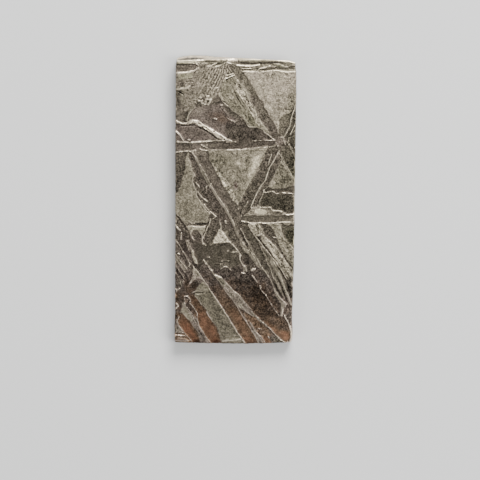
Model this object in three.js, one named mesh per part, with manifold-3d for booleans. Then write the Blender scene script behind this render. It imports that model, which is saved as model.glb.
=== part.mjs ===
// An iron meteorite slice: a small rectangular plate sawn from an octahedrite, ground flat and etched.
// The acid has eaten the kamacite plates down, so that the plessite fields and the thin taenite ribbons
// between them stand proud in the Widmanstatten pattern. It lies on its back face: X is across, Y is along
// and Z is up through the thickness, in millimetres, with the origin under the middle of the slice.
import * as THREE from "three";
import { mergeVertices } from "three/addons/utils/BufferGeometryUtils.js";
import Module from "manifold-3d";

// Driving dimensions.
const THICKNESS = 2.4;
const ETCH_DEPTH = 0.14; // how far the kamacite lies below the ground face
const FIELD_DROP = 0.05; // how far the plessite lies below it
const RIM = 0.18; // the chamfer that takes the burr off every edge
const DATUM_Y = -0.29; // the pattern is measured from a point this far along from the middle
const END_LEAN = 0.42; // how far the left of the top end leans out, for each millimetre down the cut
const OVERRUN = 1; // how far a cutter runs past what it cuts
const BURY = 0.3; // how far relief reaches down into the slice

// The edge of the slice as it shows from above, anticlockwise from the bottom left corner.
const OUTLINE = [
  [-8.85, -21.15], [-5.5, -21.25], [-1.5, -21.3], [2.5, -21.3], [5.5, -21.2], [8.6, -21.1],
  [8.8, -20.8], [8.85, -20], [8.75, -18], [8.85, -15], [8.9, -9], [8.95, -3], [9, 5], [9.05, 15],
  [9.05, 20.5], [8.85, 20.85], [6.5, 21.05], [3.3, 21.2], [0, 21.4], [-3.8, 21.6], [-4.7, 21.75],
  [-5.6, 21.88], [-6.6, 21.84], [-7.4, 21.66], [-8.7, 21.4], [-9.05, 21.1], [-9.05, 14], [-9, 5],
  [-8.95, -5], [-8.85, -14],
];

// The leaning part of the top end: the line where it meets the front face.
const LEAN_FROM = [-9.4, 20.93];
const LEAN_TO = [0.5, 21.24];

// Plessite fields on the front, each an outline.
const FIELDS = [
  // the large field at the top right, and the strip beside the long diagonal plate
  [[1.1, 19.2], [2, 18], [2.7, 17], [3.3, 16], [4, 15], [5, 13.1], [5.9, 11.8], [6.4, 10.3], [7, 13],
    [7.2, 14.6], [8.3, 15.1], [9.3, 15.8], [9.3, 19.3]],
  [[-0.1, 18.3], [0.5, 18], [1.3, 16.9], [2, 15.4], [2.8, 14], [3.8, 12.1], [4.6, 11.3], [6, 9.2],
    [4.3, 10.4], [3.6, 11.1], [2.6, 13], [1.3, 14.4], [0.1, 16]],
  // the comb of fine plessite at the top left, and the smooth field below it
  [[-4.2, 20.1], [-1.3, 20.3], [-0.3, 18.6], [-0.5, 17], [-1.6, 15.3], [-2.7, 15.9], [-4, 15.1],
    [-5.9, 15.2], [-6.2, 16.5], [-5.6, 18], [-4.7, 19.5]],
  [[-0.4, 16.6], [1.1, 14], [2.4, 12.9], [3.1, 11.2], [2.1, 11.1], [1.4, 12.3], [0.9, 12.9], [-0.5, 13.7],
    [-1.6, 14.5], [-1.5, 15.2]],
  [[-9.3, 19.05], [-7.2, 19.1], [-6.7, 18.9], [-6.8, 18.2], [-9.3, 18.2]],
  // the central triangle
  [[-4.1, 7.4], [-3.9, 6.3], [-3.3, 5.3], [-2.4, 4.1], [-1.7, 3], [-1, 1.5], [-0.5, 0.5], [0.3, -0.3],
    [0.8, 0.3], [1.5, 2], [2.4, 3.8], [3.7, 5.9], [4.6, 7.8]],
  // the field at the left, with its finger up to the cross plate
  [[-7.1, 7], [-6.7, 5.9], [-6, 3.8], [-6.2, 2.6], [-5.2, 0.3], [-3.9, -1.9], [-4.3, -3], [-6.7, -3.3],
    [-7.2, -3.5], [-9.2, -1.2], [-9.2, 1], [-8.6, 1.3], [-7.8, 3.3], [-7.7, 5.8]],
  // the triangle and the lens at the right
  [[6.9, 6.1], [6.1, 4.4], [5.7, 3.3], [5.1, 2.1], [9.3, 2], [9.3, 2.9]],
  [[1.4, -2], [3.1, -1], [4.6, -1], [5.4, -1.1], [7, -1.6], [8.9, -1.9], [4.5, -2]],
  // the granular strips that fan out to the right edge
  [[2.2, -3.2], [3.8, -3.3], [4.6, -4.8], [6, -6.1], [7.2, -7.9], [9.2, -11], [9.2, -12.6], [7, -9.7],
    [5.2, -7.3], [3.2, -5.2]],
  [[5.1, -3.3], [6.7, -3.3], [7.4, -5.2], [9.2, -7.1], [9.2, -10.2], [8, -9], [6.6, -6.5], [6.1, -4.9]],
  // the small triangles left of the middle
  [[-2.2, -4.1], [-3, -5.1], [-3.3, -6.4], [-0.7, -6.1], [-1.2, -5.3]],
  [[-6.8, -3.9], [-6.4, -4.4], [-5.7, -4.4], [-5, -4.9], [-4.3, -3.7]],
  [[-6.5, -7.2], [-6.2, -8.5], [-6, -9.7], [-5.5, -9.4], [-5.6, -8.4], [-6, -7.7]],
  [[-6.3, -9.8], [-6.1, -11.2], [-7, -12.8], [-6.5, -12.3], [-5.5, -11.5], [-4.6, -11.8], [-5, -11]],
  // the long strips towards the bottom edge
  [[-4.7, -11.9], [-5.7, -13.2], [-5.8, -14.1], [-4, -16.6], [-2.1, -19.7], [-1.5, -21.6], [2, -21.6],
    [-1.2, -16.8], [-3.4, -13.6]],
  [[-2.7, -11.2], [-2, -11.4], [1.1, -14.4], [2.6, -16.3], [3.4, -17.4], [1.7, -17], [-0.2, -14.6]],
  [[-7.9, -16], [-8, -16.9], [-6.4, -18.2], [-5, -20.4], [-4.9, -21.5], [-3.4, -21.5], [-5.2, -18.6],
    [-6, -17.3], [-7, -15.9]],
  [[-8.9, -8], [-8.9, -8.4], [-7.4, -10.7], [-7.1, -10]],
];

// Taenite ribbons on the front: the width of each, then the points along it.
const RIBBONS = [
  // along the top edge
  [0.24, [-9.2, 20.8], [-5.2, 20.85], [-1.4, 21.05]],
  [0.18, [-9.2, 19.05], [-7.2, 19.15], [-5.75, 19.75]],
  [0.16, [-4.3, 20.1], [-3.7, 20.2], [-3, 20.6]],
  [0.2, [0.25, 20.3], [2, 20.2], [3.4, 20.4]],
  [0.16, [0.5, 19.75], [2.2, 19.8], [3.2, 20.02]],
  [0.16, [0.9, 19.35], [3.1, 19.3], [3.4, 19.7], [4.3, 19.9], [5, 20.3], [5.3, 19.95], [5.9, 20.15]],
  [0.16, [3.6, 19.25], [6.2, 19.5], [6.9, 19.35], [9.3, 19.35]],
  // round the fields of the upper half
  [0.16, [-1.2, 20.9], [-0.6, 19.6], [0.2, 18]],
  [0.16, [-0.2, 16.5], [1.2, 14.2]],
  [0.18, [-6.2, 14.3], [-6.9, 13.2], [-7.5, 11.8]],
  [0.18, [0, 13.2], [0.9, 12.8], [1.5, 12.1], [2, 11.1], [3.2, 11.1]],
  [0.16, [3.4, 11.2], [4.8, 10], [6, 9.1]],
  [0.24, [7.1, 9.6], [7.8, 11.3], [8.4, 13.3], [9.2, 15.4]],
  [0.18, [8.2, 10.2], [9.2, 12.5]],
  // the ragged ribbon at the left
  [0.2, [-9.2, 12.1], [-8, 11.55], [-6.7, 11.9]],
  [0.45, [-6.7, 11.8], [-5.7, 11.8], [-4.5, 11], [-3.2, 10.3], [-1.6, 9.3]],
  [0.2, [-1.6, 9.3], [-0.2, 8.88]],
  [0.2, [-8.9, 10.5], [-8.3, 10], [-7.65, 9]],
  // the cross plate's two edges
  [0.24, [-6.6, 8.72], [-4.5, 8.92], [-2.4, 9.08]],
  [0.14, [-2.6, 8.92], [2.8, 9], [4.2, 9.15], [6, 9.1]],
  [0.16, [-9.3, 7.2], [-8, 7.42], [-6, 7.55]],
  [0.16, [-5, 7.55], [0, 7.7], [5, 8.1], [6.1, 8.7]],
  // down the plates of the middle
  [0.28, [-6.4, 7.3], [-4.9, 4.5], [-3.1, 1.5], [-1.5, -1.1], [-0.3, -3.2], [0.25, -5]],
  [0.26, [-3.3, 5.2], [-1.6, 3.1], [0.1, 0]],
  [0.16, [-6.6, 3.3], [-5.7, 1], [-4.3, -1.3]],
  [0.18, [-5.4, 1.4], [-4.4, 0], [-2.8, -2.3]],
  [0.22, [6.6, 7.6], [5.3, 5.3], [4.4, 3.4], [3.3, 1.5], [2.3, -0.8]],
  [0.14, [5.4, 7], [4.85, 5.1]],
  [0.14, [6.9, 6.2], [5.8, 3.5], [5.1, 2.2], [4.2, 1.7]],
  [0.17, [6.4, 8.3], [7, 6.5], [8.1, 4.4], [9.2, 2.4]],
  [0.17, [4.2, 1.6], [5, 1.35], [5.8, 1.5], [6.5, 1.15], [9.3, 1.2]],
  [0.18, [4.2, 1.4], [3.6, -0.2], [3.7, -0.9]],
  [0.17, [1.3, -2.1], [4, -2.05], [9.3, -1.85]],
  [0.17, [1.1, -2.95], [2.5, -3.2], [6.4, -3.15], [9.3, -3.05]],
  [0.15, [1.9, -0.1], [1.1, -1.4], [0.9, -2.3]],
  // left of the middle
  [0.18, [-9.1, -1.5], [-7.3, -3.5], [-6.8, -4.9], [-6.2, -5.8]],
  [0.15, [-6.9, -3.8], [-5.9, -3.95], [-4.6, -3.6]],
  [0.14, [-3.5, -3], [-4.7, -5.3]],
  [0.16, [-3.6, -6.6], [-2.9, -6.35], [-0.6, -6.2], [0.6, -7.7], [0.9, -8.8], [1.6, -9.9]],
  [0.2, [-9, -3.2], [-8.1, -4.5]],
  [0.15, [-9.1, -5.5], [-7.4, -7.9], [-6.6, -9.4]],
  [0.17, [-8.9, -9.4], [-7.4, -11.6]],
  [0.18, [-9, -10.5], [-8.2, -11.6], [-7.9, -12.8]],
  // the long ribbons of the lower half
  [0.24, [0.25, -5], [1.6, -7.4], [3.1, -8.9], [4, -10.1]],
  [0.18, [0.9, -4], [2.4, -7.1], [4, -9.7], [5.4, -11.8], [6.3, -13.7], [7.2, -15.1], [7.3, -16.9]],
  [0.17, [2, -3.3], [3, -5.1], [5.2, -7.7], [7, -10.3], [9.2, -13]],
  [0.24, [3.7, -6.3], [5.2, -8.4], [6.5, -10.9], [7.4, -13], [8.5, -15.1], [8.7, -16.6]],
  [0.15, [4.9, -8.9], [6.2, -12], [7.8, -15.1]],
  [0.15, [7.7, -15.5], [7.6, -16.9], [8.6, -19]],
  [0.16, [2.7, -11], [3.5, -12.1], [4.3, -13.6], [5.4, -15.2], [6.7, -17]],
  [0.18, [-4.5, -8.9], [-3, -10.9], [-2, -11.4], [-0.4, -13.1], [1.1, -14.4], [3, -16.9], [5.6, -19.1],
    [7.7, -21.1], [8.1, -20.8]],
  [0.22, [-2.7, -11.3], [-1.2, -13.5], [1, -16.8], [2.9, -19.6], [4, -21.6]],
  [0.16, [2.5, -18.3], [3.1, -19.2], [5.1, -21.6]],
  [0.16, [-4.5, -12.1], [-2, -15.6], [0, -18.6], [2, -21.6]],
  [0.15, [-6.8, -15], [-5.4, -16.8], [-5.4, -17.9], [-4.5, -19.8], [-3.1, -21.6]],
  [0.14, [-5.8, -14.1], [-4, -16.6], [-3.2, -18]],
  [0.2, [-7.4, -14.2], [-7.5, -15.9]],
  [0.17, [-8.2, -17.2], [-8.2, -18.6], [-7, -20.2], [-6, -21.5]],
  [0.24, [-8.6, -20.15], [-7.5, -20.15]],
];

// The grooves of the comb of plessite: they fan from the first groove to the last, bottom end then top.
const COMB_GROOVES = 11;
const COMB_GROOVE_WIDTH = 0.15;
const COMB_FIRST = [[-5.9, 16], [-3.9, 19.3]];
const COMB_LAST = [[-1.5, 15.9], [-0.7, 18.9]];

// Kamacite plates as they come out on the back, each a straight run and its width. They are the front's
// plates, moved across by the slope at which each set of plates dips through the thickness.
const BACK_PLATES = [
  [1.1, [-9.6, 7.3], [6.8, 7.5]],
  [0.9, [0.2, -3.4], [9.6, -3.4]],
  [1.3, [0.4, 22.2], [7.4, 9.4]],
  [1.1, [-6.6, 9], [-0.2, -2.6]],
  [1.1, [-4.6, 8.2], [1.6, -3.2]],
  [1.2, [5.7, 8.7], [0.2, -1.4]],
  [0.8, [7.4, 10], [9.6, 14]],
  [1, [7, 7], [9.6, 2.2]],
  [1, [-9.6, 0.3], [-5.4, -6.8]],
  [1.2, [-6.6, -6.4], [3, -21.8]],
  [0.9, [-8.6, -11.6], [-2.4, -21.8]],
  [0.9, [0.6, -4.4], [8.4, -18.6]],
  [0.8, [3.8, -4], [9.4, -12.8]],
  [1, [-9.6, -15.4], [-6, -21.8]],
  [0.8, [-8.8, 12.4], [-5.2, 19]],
  [0.8, [-9.6, 17.4], [-5, 17.6]],
  [0.8, [1.4, 19.2], [9.6, 19.2]],
  [0.8, [-2.6, -6.8], [-5.4, -11.6]],
];

const wasm = await Module();
wasm.setup();

// A closed three.js geometry as a solid.
function solid(geometry) {
  const bare = geometry.index ? geometry.toNonIndexed() : geometry.clone();
  bare.deleteAttribute("normal");
  bare.deleteAttribute("uv");
  const merged = mergeVertices(bare, 1e-5);
  return new wasm.Manifold(
    new wasm.Mesh({
      numProp: 3,
      vertProperties: new Float32Array(merged.attributes.position.array),
      triVerts: new Uint32Array(merged.index.array),
    }),
  );
}

// A straight-sided block that stands on an outline, from one height to another.
function block(outline, low, high) {
  const shape = new THREE.Shape(outline.map(([x, y]) => new THREE.Vector2(x, y + DATUM_Y)));
  const geometry = new THREE.ExtrudeGeometry(shape, { depth: high - low, bevelEnabled: false });
  return solid(geometry.translate(0, 0, low));
}

// The outline of a ribbon or plate: its two sides, half its width from the line and mitred at each bend.
function stripOutline(width, line) {
  const points = line.map(([x, y]) => new THREE.Vector2(x, y));
  const last = points.length - 1;
  const sides = points.map((point, i) => {
    const before = point.clone().sub(points[Math.max(i - 1, 0)]).normalize();
    const after = points[Math.min(i + 1, last)].clone().sub(point).normalize();
    const along = before.clone().add(after).normalize();
    const straight = i === 0 ? after : before;
    const across = new THREE.Vector2(-along.y, along.x);
    const mitre = Math.abs(across.dot(new THREE.Vector2(-straight.y, straight.x)));
    return [point, across.multiplyScalar(width / 2 / Math.max(mitre, 0.5))];
  });
  const left = sides.map(([p, across]) => [p.x + across.x, p.y + across.y]);
  const right = sides.map(([p, across]) => [p.x - across.x, p.y - across.y]);
  return [...right, ...left.reverse()];
}

function joined(solids) {
  return solids.reduce((whole, one) => whole.add(one));
}

// The strips that the comb's grooves cut away, evenly spread between the first and the last.
function combStrips() {
  return Array.from({ length: COMB_GROOVES }, (_, i) => {
    const share = i / (COMB_GROOVES - 1);
    const ends = COMB_FIRST.map((first, end) =>
      first.map((value, k) => THREE.MathUtils.lerp(value, COMB_LAST[end][k], share)),
    );
    return stripOutline(COMB_GROOVE_WIDTH, ends);
  });
}

// The plate before etching: the outline with its chamfered rims, less the wedge that makes the end lean.
function groundPlate() {
  const inset = new THREE.Shape(OUTLINE.map(([x, y]) => new THREE.Vector2(x, y + DATUM_Y)));
  const plate = new THREE.ExtrudeGeometry(inset, {
    depth: THICKNESS - 2 * RIM,
    bevelThickness: RIM,
    bevelSize: RIM,
    bevelOffset: -RIM,
    bevelSegments: 1,
  }).translate(0, 0, RIM);
  return solid(plate).subtract(leanCutter());
}

// The wedge above the leaning part of the top end, drawn in section and laid along the edge.
function leanCutter() {
  const run = new THREE.Vector2(LEAN_TO[0] - LEAN_FROM[0], LEAN_TO[1] - LEAN_FROM[1]);
  const drop = THICKNESS + OVERRUN;
  const section = new THREE.Shape([
    new THREE.Vector2(-END_LEAN * OVERRUN, THICKNESS + OVERRUN),
    new THREE.Vector2(END_LEAN * drop, THICKNESS - drop),
    new THREE.Vector2(END_LEAN * drop + OVERRUN, THICKNESS - drop),
    new THREE.Vector2(END_LEAN * drop + OVERRUN, THICKNESS + OVERRUN),
  ]);
  const wedge = new THREE.ExtrudeGeometry(section, { depth: run.length(), bevelEnabled: false });
  const frame = new THREE.Matrix4().makeBasis(
    new THREE.Vector3(-run.y, run.x, 0).normalize(),
    new THREE.Vector3(0, 0, 1),
    new THREE.Vector3(run.x, run.y, 0).normalize(),
  );
  return solid(wedge.applyMatrix4(frame).translate(LEAN_FROM[0], LEAN_FROM[1] + DATUM_Y, 0));
}

function meteoriteSlice() {
  const plate = groundPlate();
  const floor = THICKNESS - ETCH_DEPTH;
  const corner = OUTLINE[0];
  const everything = [
    [corner[0] - OVERRUN, corner[1] - OVERRUN],
    [-corner[0] + OVERRUN, corner[1] - OVERRUN],
    [-corner[0] + OVERRUN, -corner[1] + 2 * OVERRUN],
    [corner[0] - OVERRUN, -corner[1] + 2 * OVERRUN],
  ];
  const kamacite = plate.intersect(block(everything, -OVERRUN, floor));
  const fields = FIELDS.map((outline) => block(outline, floor - BURY, THICKNESS - FIELD_DROP));
  const ribbons = RIBBONS.map(([width, ...line]) =>
    block(stripOutline(width, line), floor - BURY, THICKNESS),
  );
  const grooves = combStrips().map((outline) => block(outline, floor, THICKNESS + OVERRUN));
  const grooved = joined(fields).subtract(joined(grooves));
  const proud = plate.intersect(grooved.add(joined(ribbons)));
  const backPlates = BACK_PLATES.map(([width, ...line]) =>
    block(stripOutline(width, line), -OVERRUN, ETCH_DEPTH),
  );
  return kamacite.add(proud).subtract(joined(backPlates));
}

// The solid as a named mesh.
function meshOf(name, made, material) {
  const { numProp, vertProperties, triVerts } = made.getMesh();
  const positions = new Float32Array((vertProperties.length / numProp) * 3);
  for (let i = 0; i < positions.length / 3; i++) {
    positions.set(vertProperties.subarray(i * numProp, i * numProp + 3), i * 3);
  }
  const geometry = new THREE.BufferGeometry();
  geometry.setAttribute("position", new THREE.BufferAttribute(positions, 3));
  geometry.setIndex(new THREE.BufferAttribute(triVerts, 1));
  geometry.computeVertexNormals();
  const mesh = new THREE.Mesh(geometry, material);
  mesh.name = name;
  return mesh;
}

const etchedIron = new THREE.MeshStandardMaterial({ color: 0x8a857a, roughness: 0.45, metalness: 1 });

const slice = new THREE.Group();
slice.add(meshOf("meteorite_slice", meteoriteSlice(), etchedIron));

export default slice;
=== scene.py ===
import bmesh
import bpy
import numpy as np
from math import atan2, cos, hypot, pi, radians, sin
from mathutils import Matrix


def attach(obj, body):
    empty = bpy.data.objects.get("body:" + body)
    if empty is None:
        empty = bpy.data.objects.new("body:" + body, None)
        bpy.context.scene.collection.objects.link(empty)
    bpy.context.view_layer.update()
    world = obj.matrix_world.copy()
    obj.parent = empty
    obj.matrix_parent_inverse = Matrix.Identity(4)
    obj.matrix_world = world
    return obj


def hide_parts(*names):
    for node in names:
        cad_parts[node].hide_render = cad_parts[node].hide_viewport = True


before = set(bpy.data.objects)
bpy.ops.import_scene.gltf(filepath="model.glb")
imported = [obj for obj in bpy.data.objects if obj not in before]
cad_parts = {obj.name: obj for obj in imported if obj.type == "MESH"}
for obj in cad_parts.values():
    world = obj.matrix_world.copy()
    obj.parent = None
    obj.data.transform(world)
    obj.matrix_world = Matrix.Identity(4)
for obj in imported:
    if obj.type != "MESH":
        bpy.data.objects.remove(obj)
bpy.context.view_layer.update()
MM = 0.001

# The sawn plate. It is cut from the mass with a wire saw and ground on both faces, so its long edges wander a
# little, its rims are worn round, and the left of its top end was cut aslant and leans out towards the back.
# One closed slab of small squares is made here; the etched faces move its points in the sections below.
THICKNESS = 2.4
HALF_LENGTH = 21.585
HALF_WIDTH = 9.045
BLANK = (9, 21.4)
RIM = 0.14
DATUM_Y = -0.29
SQUARES_ACROSS = 250
SQUARES_ALONG = 600
SQUARES_DOWN = 16
SIDE_WANDER = 0.03
TOP_WANDER = 0.02
WANDER_LENGTH = 0.5
END_LEAN = 0.42
LEAN_FROM = (-9.4, 20.86)
LEAN_TO = (0.5, 21.26)
LEFT_EDGE = [(-21.6, -8.78), (-20, -8.85), (-16, -8.82), (-10, -8.87), (-5, -8.9), (0, -8.92), (4, -8.97),
             (8, -9.02), (17, -9.04), (20.6, -9.04), (21.4, -8.9)]
RIGHT_EDGE = [(-21.4, 8.6), (-20.8, 8.76), (-20, 8.84), (-18, 8.72), (-15, 8.8), (-10, 8.9), (-5, 8.95),
              (4, 9), (12, 9.04), (17, 9.04), (20, 8.98), (21.1, 8.86)]
BOTTOM_EDGE = [(-9, -21.1), (-8.6, -21.18), (-5.5, -21.25), (-1.5, -21.29), (2.5, -21.29), (5.5, -21.2),
               (8.3, -21.1), (8.9, -20.95)]
TOP_EDGE = [(-9.05, 21.4), (-8.6, 21.58), (-7.75, 21.75), (-6.85, 21.88), (-5.1, 21.88), (-4.2, 21.82),
            (-3.3, 21.7), (-0.9, 21.58), (0.5, 21.5), (3.5, 21.34), (6.45, 21.22), (7.95, 21.16), (8.9, 20.9)]


def smooth(value, low=0.0, high=1.0):
    """0 below the low value, 1 above the high one, and an even S between them."""
    share = np.clip((value - low) / (high - low), 0, 1)
    return share * share * (3 - 2 * share)


def between(place, start, full, fading, end):
    """0 outside a stretch, 1 well inside it, and an even S at both of its ends."""
    return smooth(place, start, full) * smooth(-place, -end, -fading)


def mottle(x, y, size, seed):
    """Soft random lumps from -1 to 1, of the size given."""
    cells = int(64 / size)
    lumps = np.random.default_rng(seed).uniform(-1, 1, (cells, cells))
    across, along = (x + 30) / size, (y + 30) / size
    i, j = across.astype(int), along.astype(int)
    u, v = smooth(across - i), smooth(along - j)
    near = lumps[i, j] * (1 - u) + lumps[i + 1, j] * u
    far = lumps[i, j + 1] * (1 - u) + lumps[i + 1, j + 1] * u
    return near * (1 - v) + far * v


def along_edge(place, edge):
    """How far out a sawn edge lies at each place along it."""
    at, offset = zip(*edge)
    return np.interp(place, at, offset)


def lean_line(x, z):
    """Where the leaning face of the top end lies at each place."""
    slope = (LEAN_TO[1] - LEAN_FROM[1]) / (LEAN_TO[0] - LEAN_FROM[0])
    return LEAN_FROM[1] + slope * (x - LEAN_FROM[0]) + END_LEAN * (THICKNESS - z)


def sawn_edges(x, y, z):
    """Where the left, right, bottom and top edges lie at each place, with the wander of the cut."""
    down = z * 0.4
    left = along_edge(y, LEFT_EDGE) + SIDE_WANDER * mottle(y, down, WANDER_LENGTH, 11)
    right = along_edge(y, RIGHT_EDGE) - SIDE_WANDER * mottle(y, down, WANDER_LENGTH, 12)
    low = along_edge(x, BOTTOM_EDGE) + SIDE_WANDER * mottle(x, down, WANDER_LENGTH, 13) + SIDE_WANDER
    high = along_edge(x, TOP_EDGE) - TOP_WANDER * mottle(x, down, WANDER_LENGTH, 14) - TOP_WANDER
    return left, right, low, np.minimum(high, lean_line(x, z))


sheet = bmesh.new()
bmesh.ops.create_grid(sheet, x_segments=SQUARES_ACROSS, y_segments=SQUARES_ALONG, size=1)
front = bmesh.ops.extrude_face_region(sheet, geom=sheet.faces[:])
risen = [part for part in front["geom"] if isinstance(part, bmesh.types.BMVert)]
bmesh.ops.translate(sheet, verts=risen, vec=(0, 0, 1))
uprights = [edge for edge in sheet.edges if abs(edge.verts[0].co.z - edge.verts[1].co.z) > 0.5]
bmesh.ops.subdivide_edges(sheet, edges=uprights, cuts=SQUARES_DOWN - 1)
bmesh.ops.recalc_face_normals(sheet, faces=sheet.faces[:])
slab = bpy.data.meshes.new("meteorite_slab")
sheet.to_mesh(slab)
sheet.free()

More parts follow.
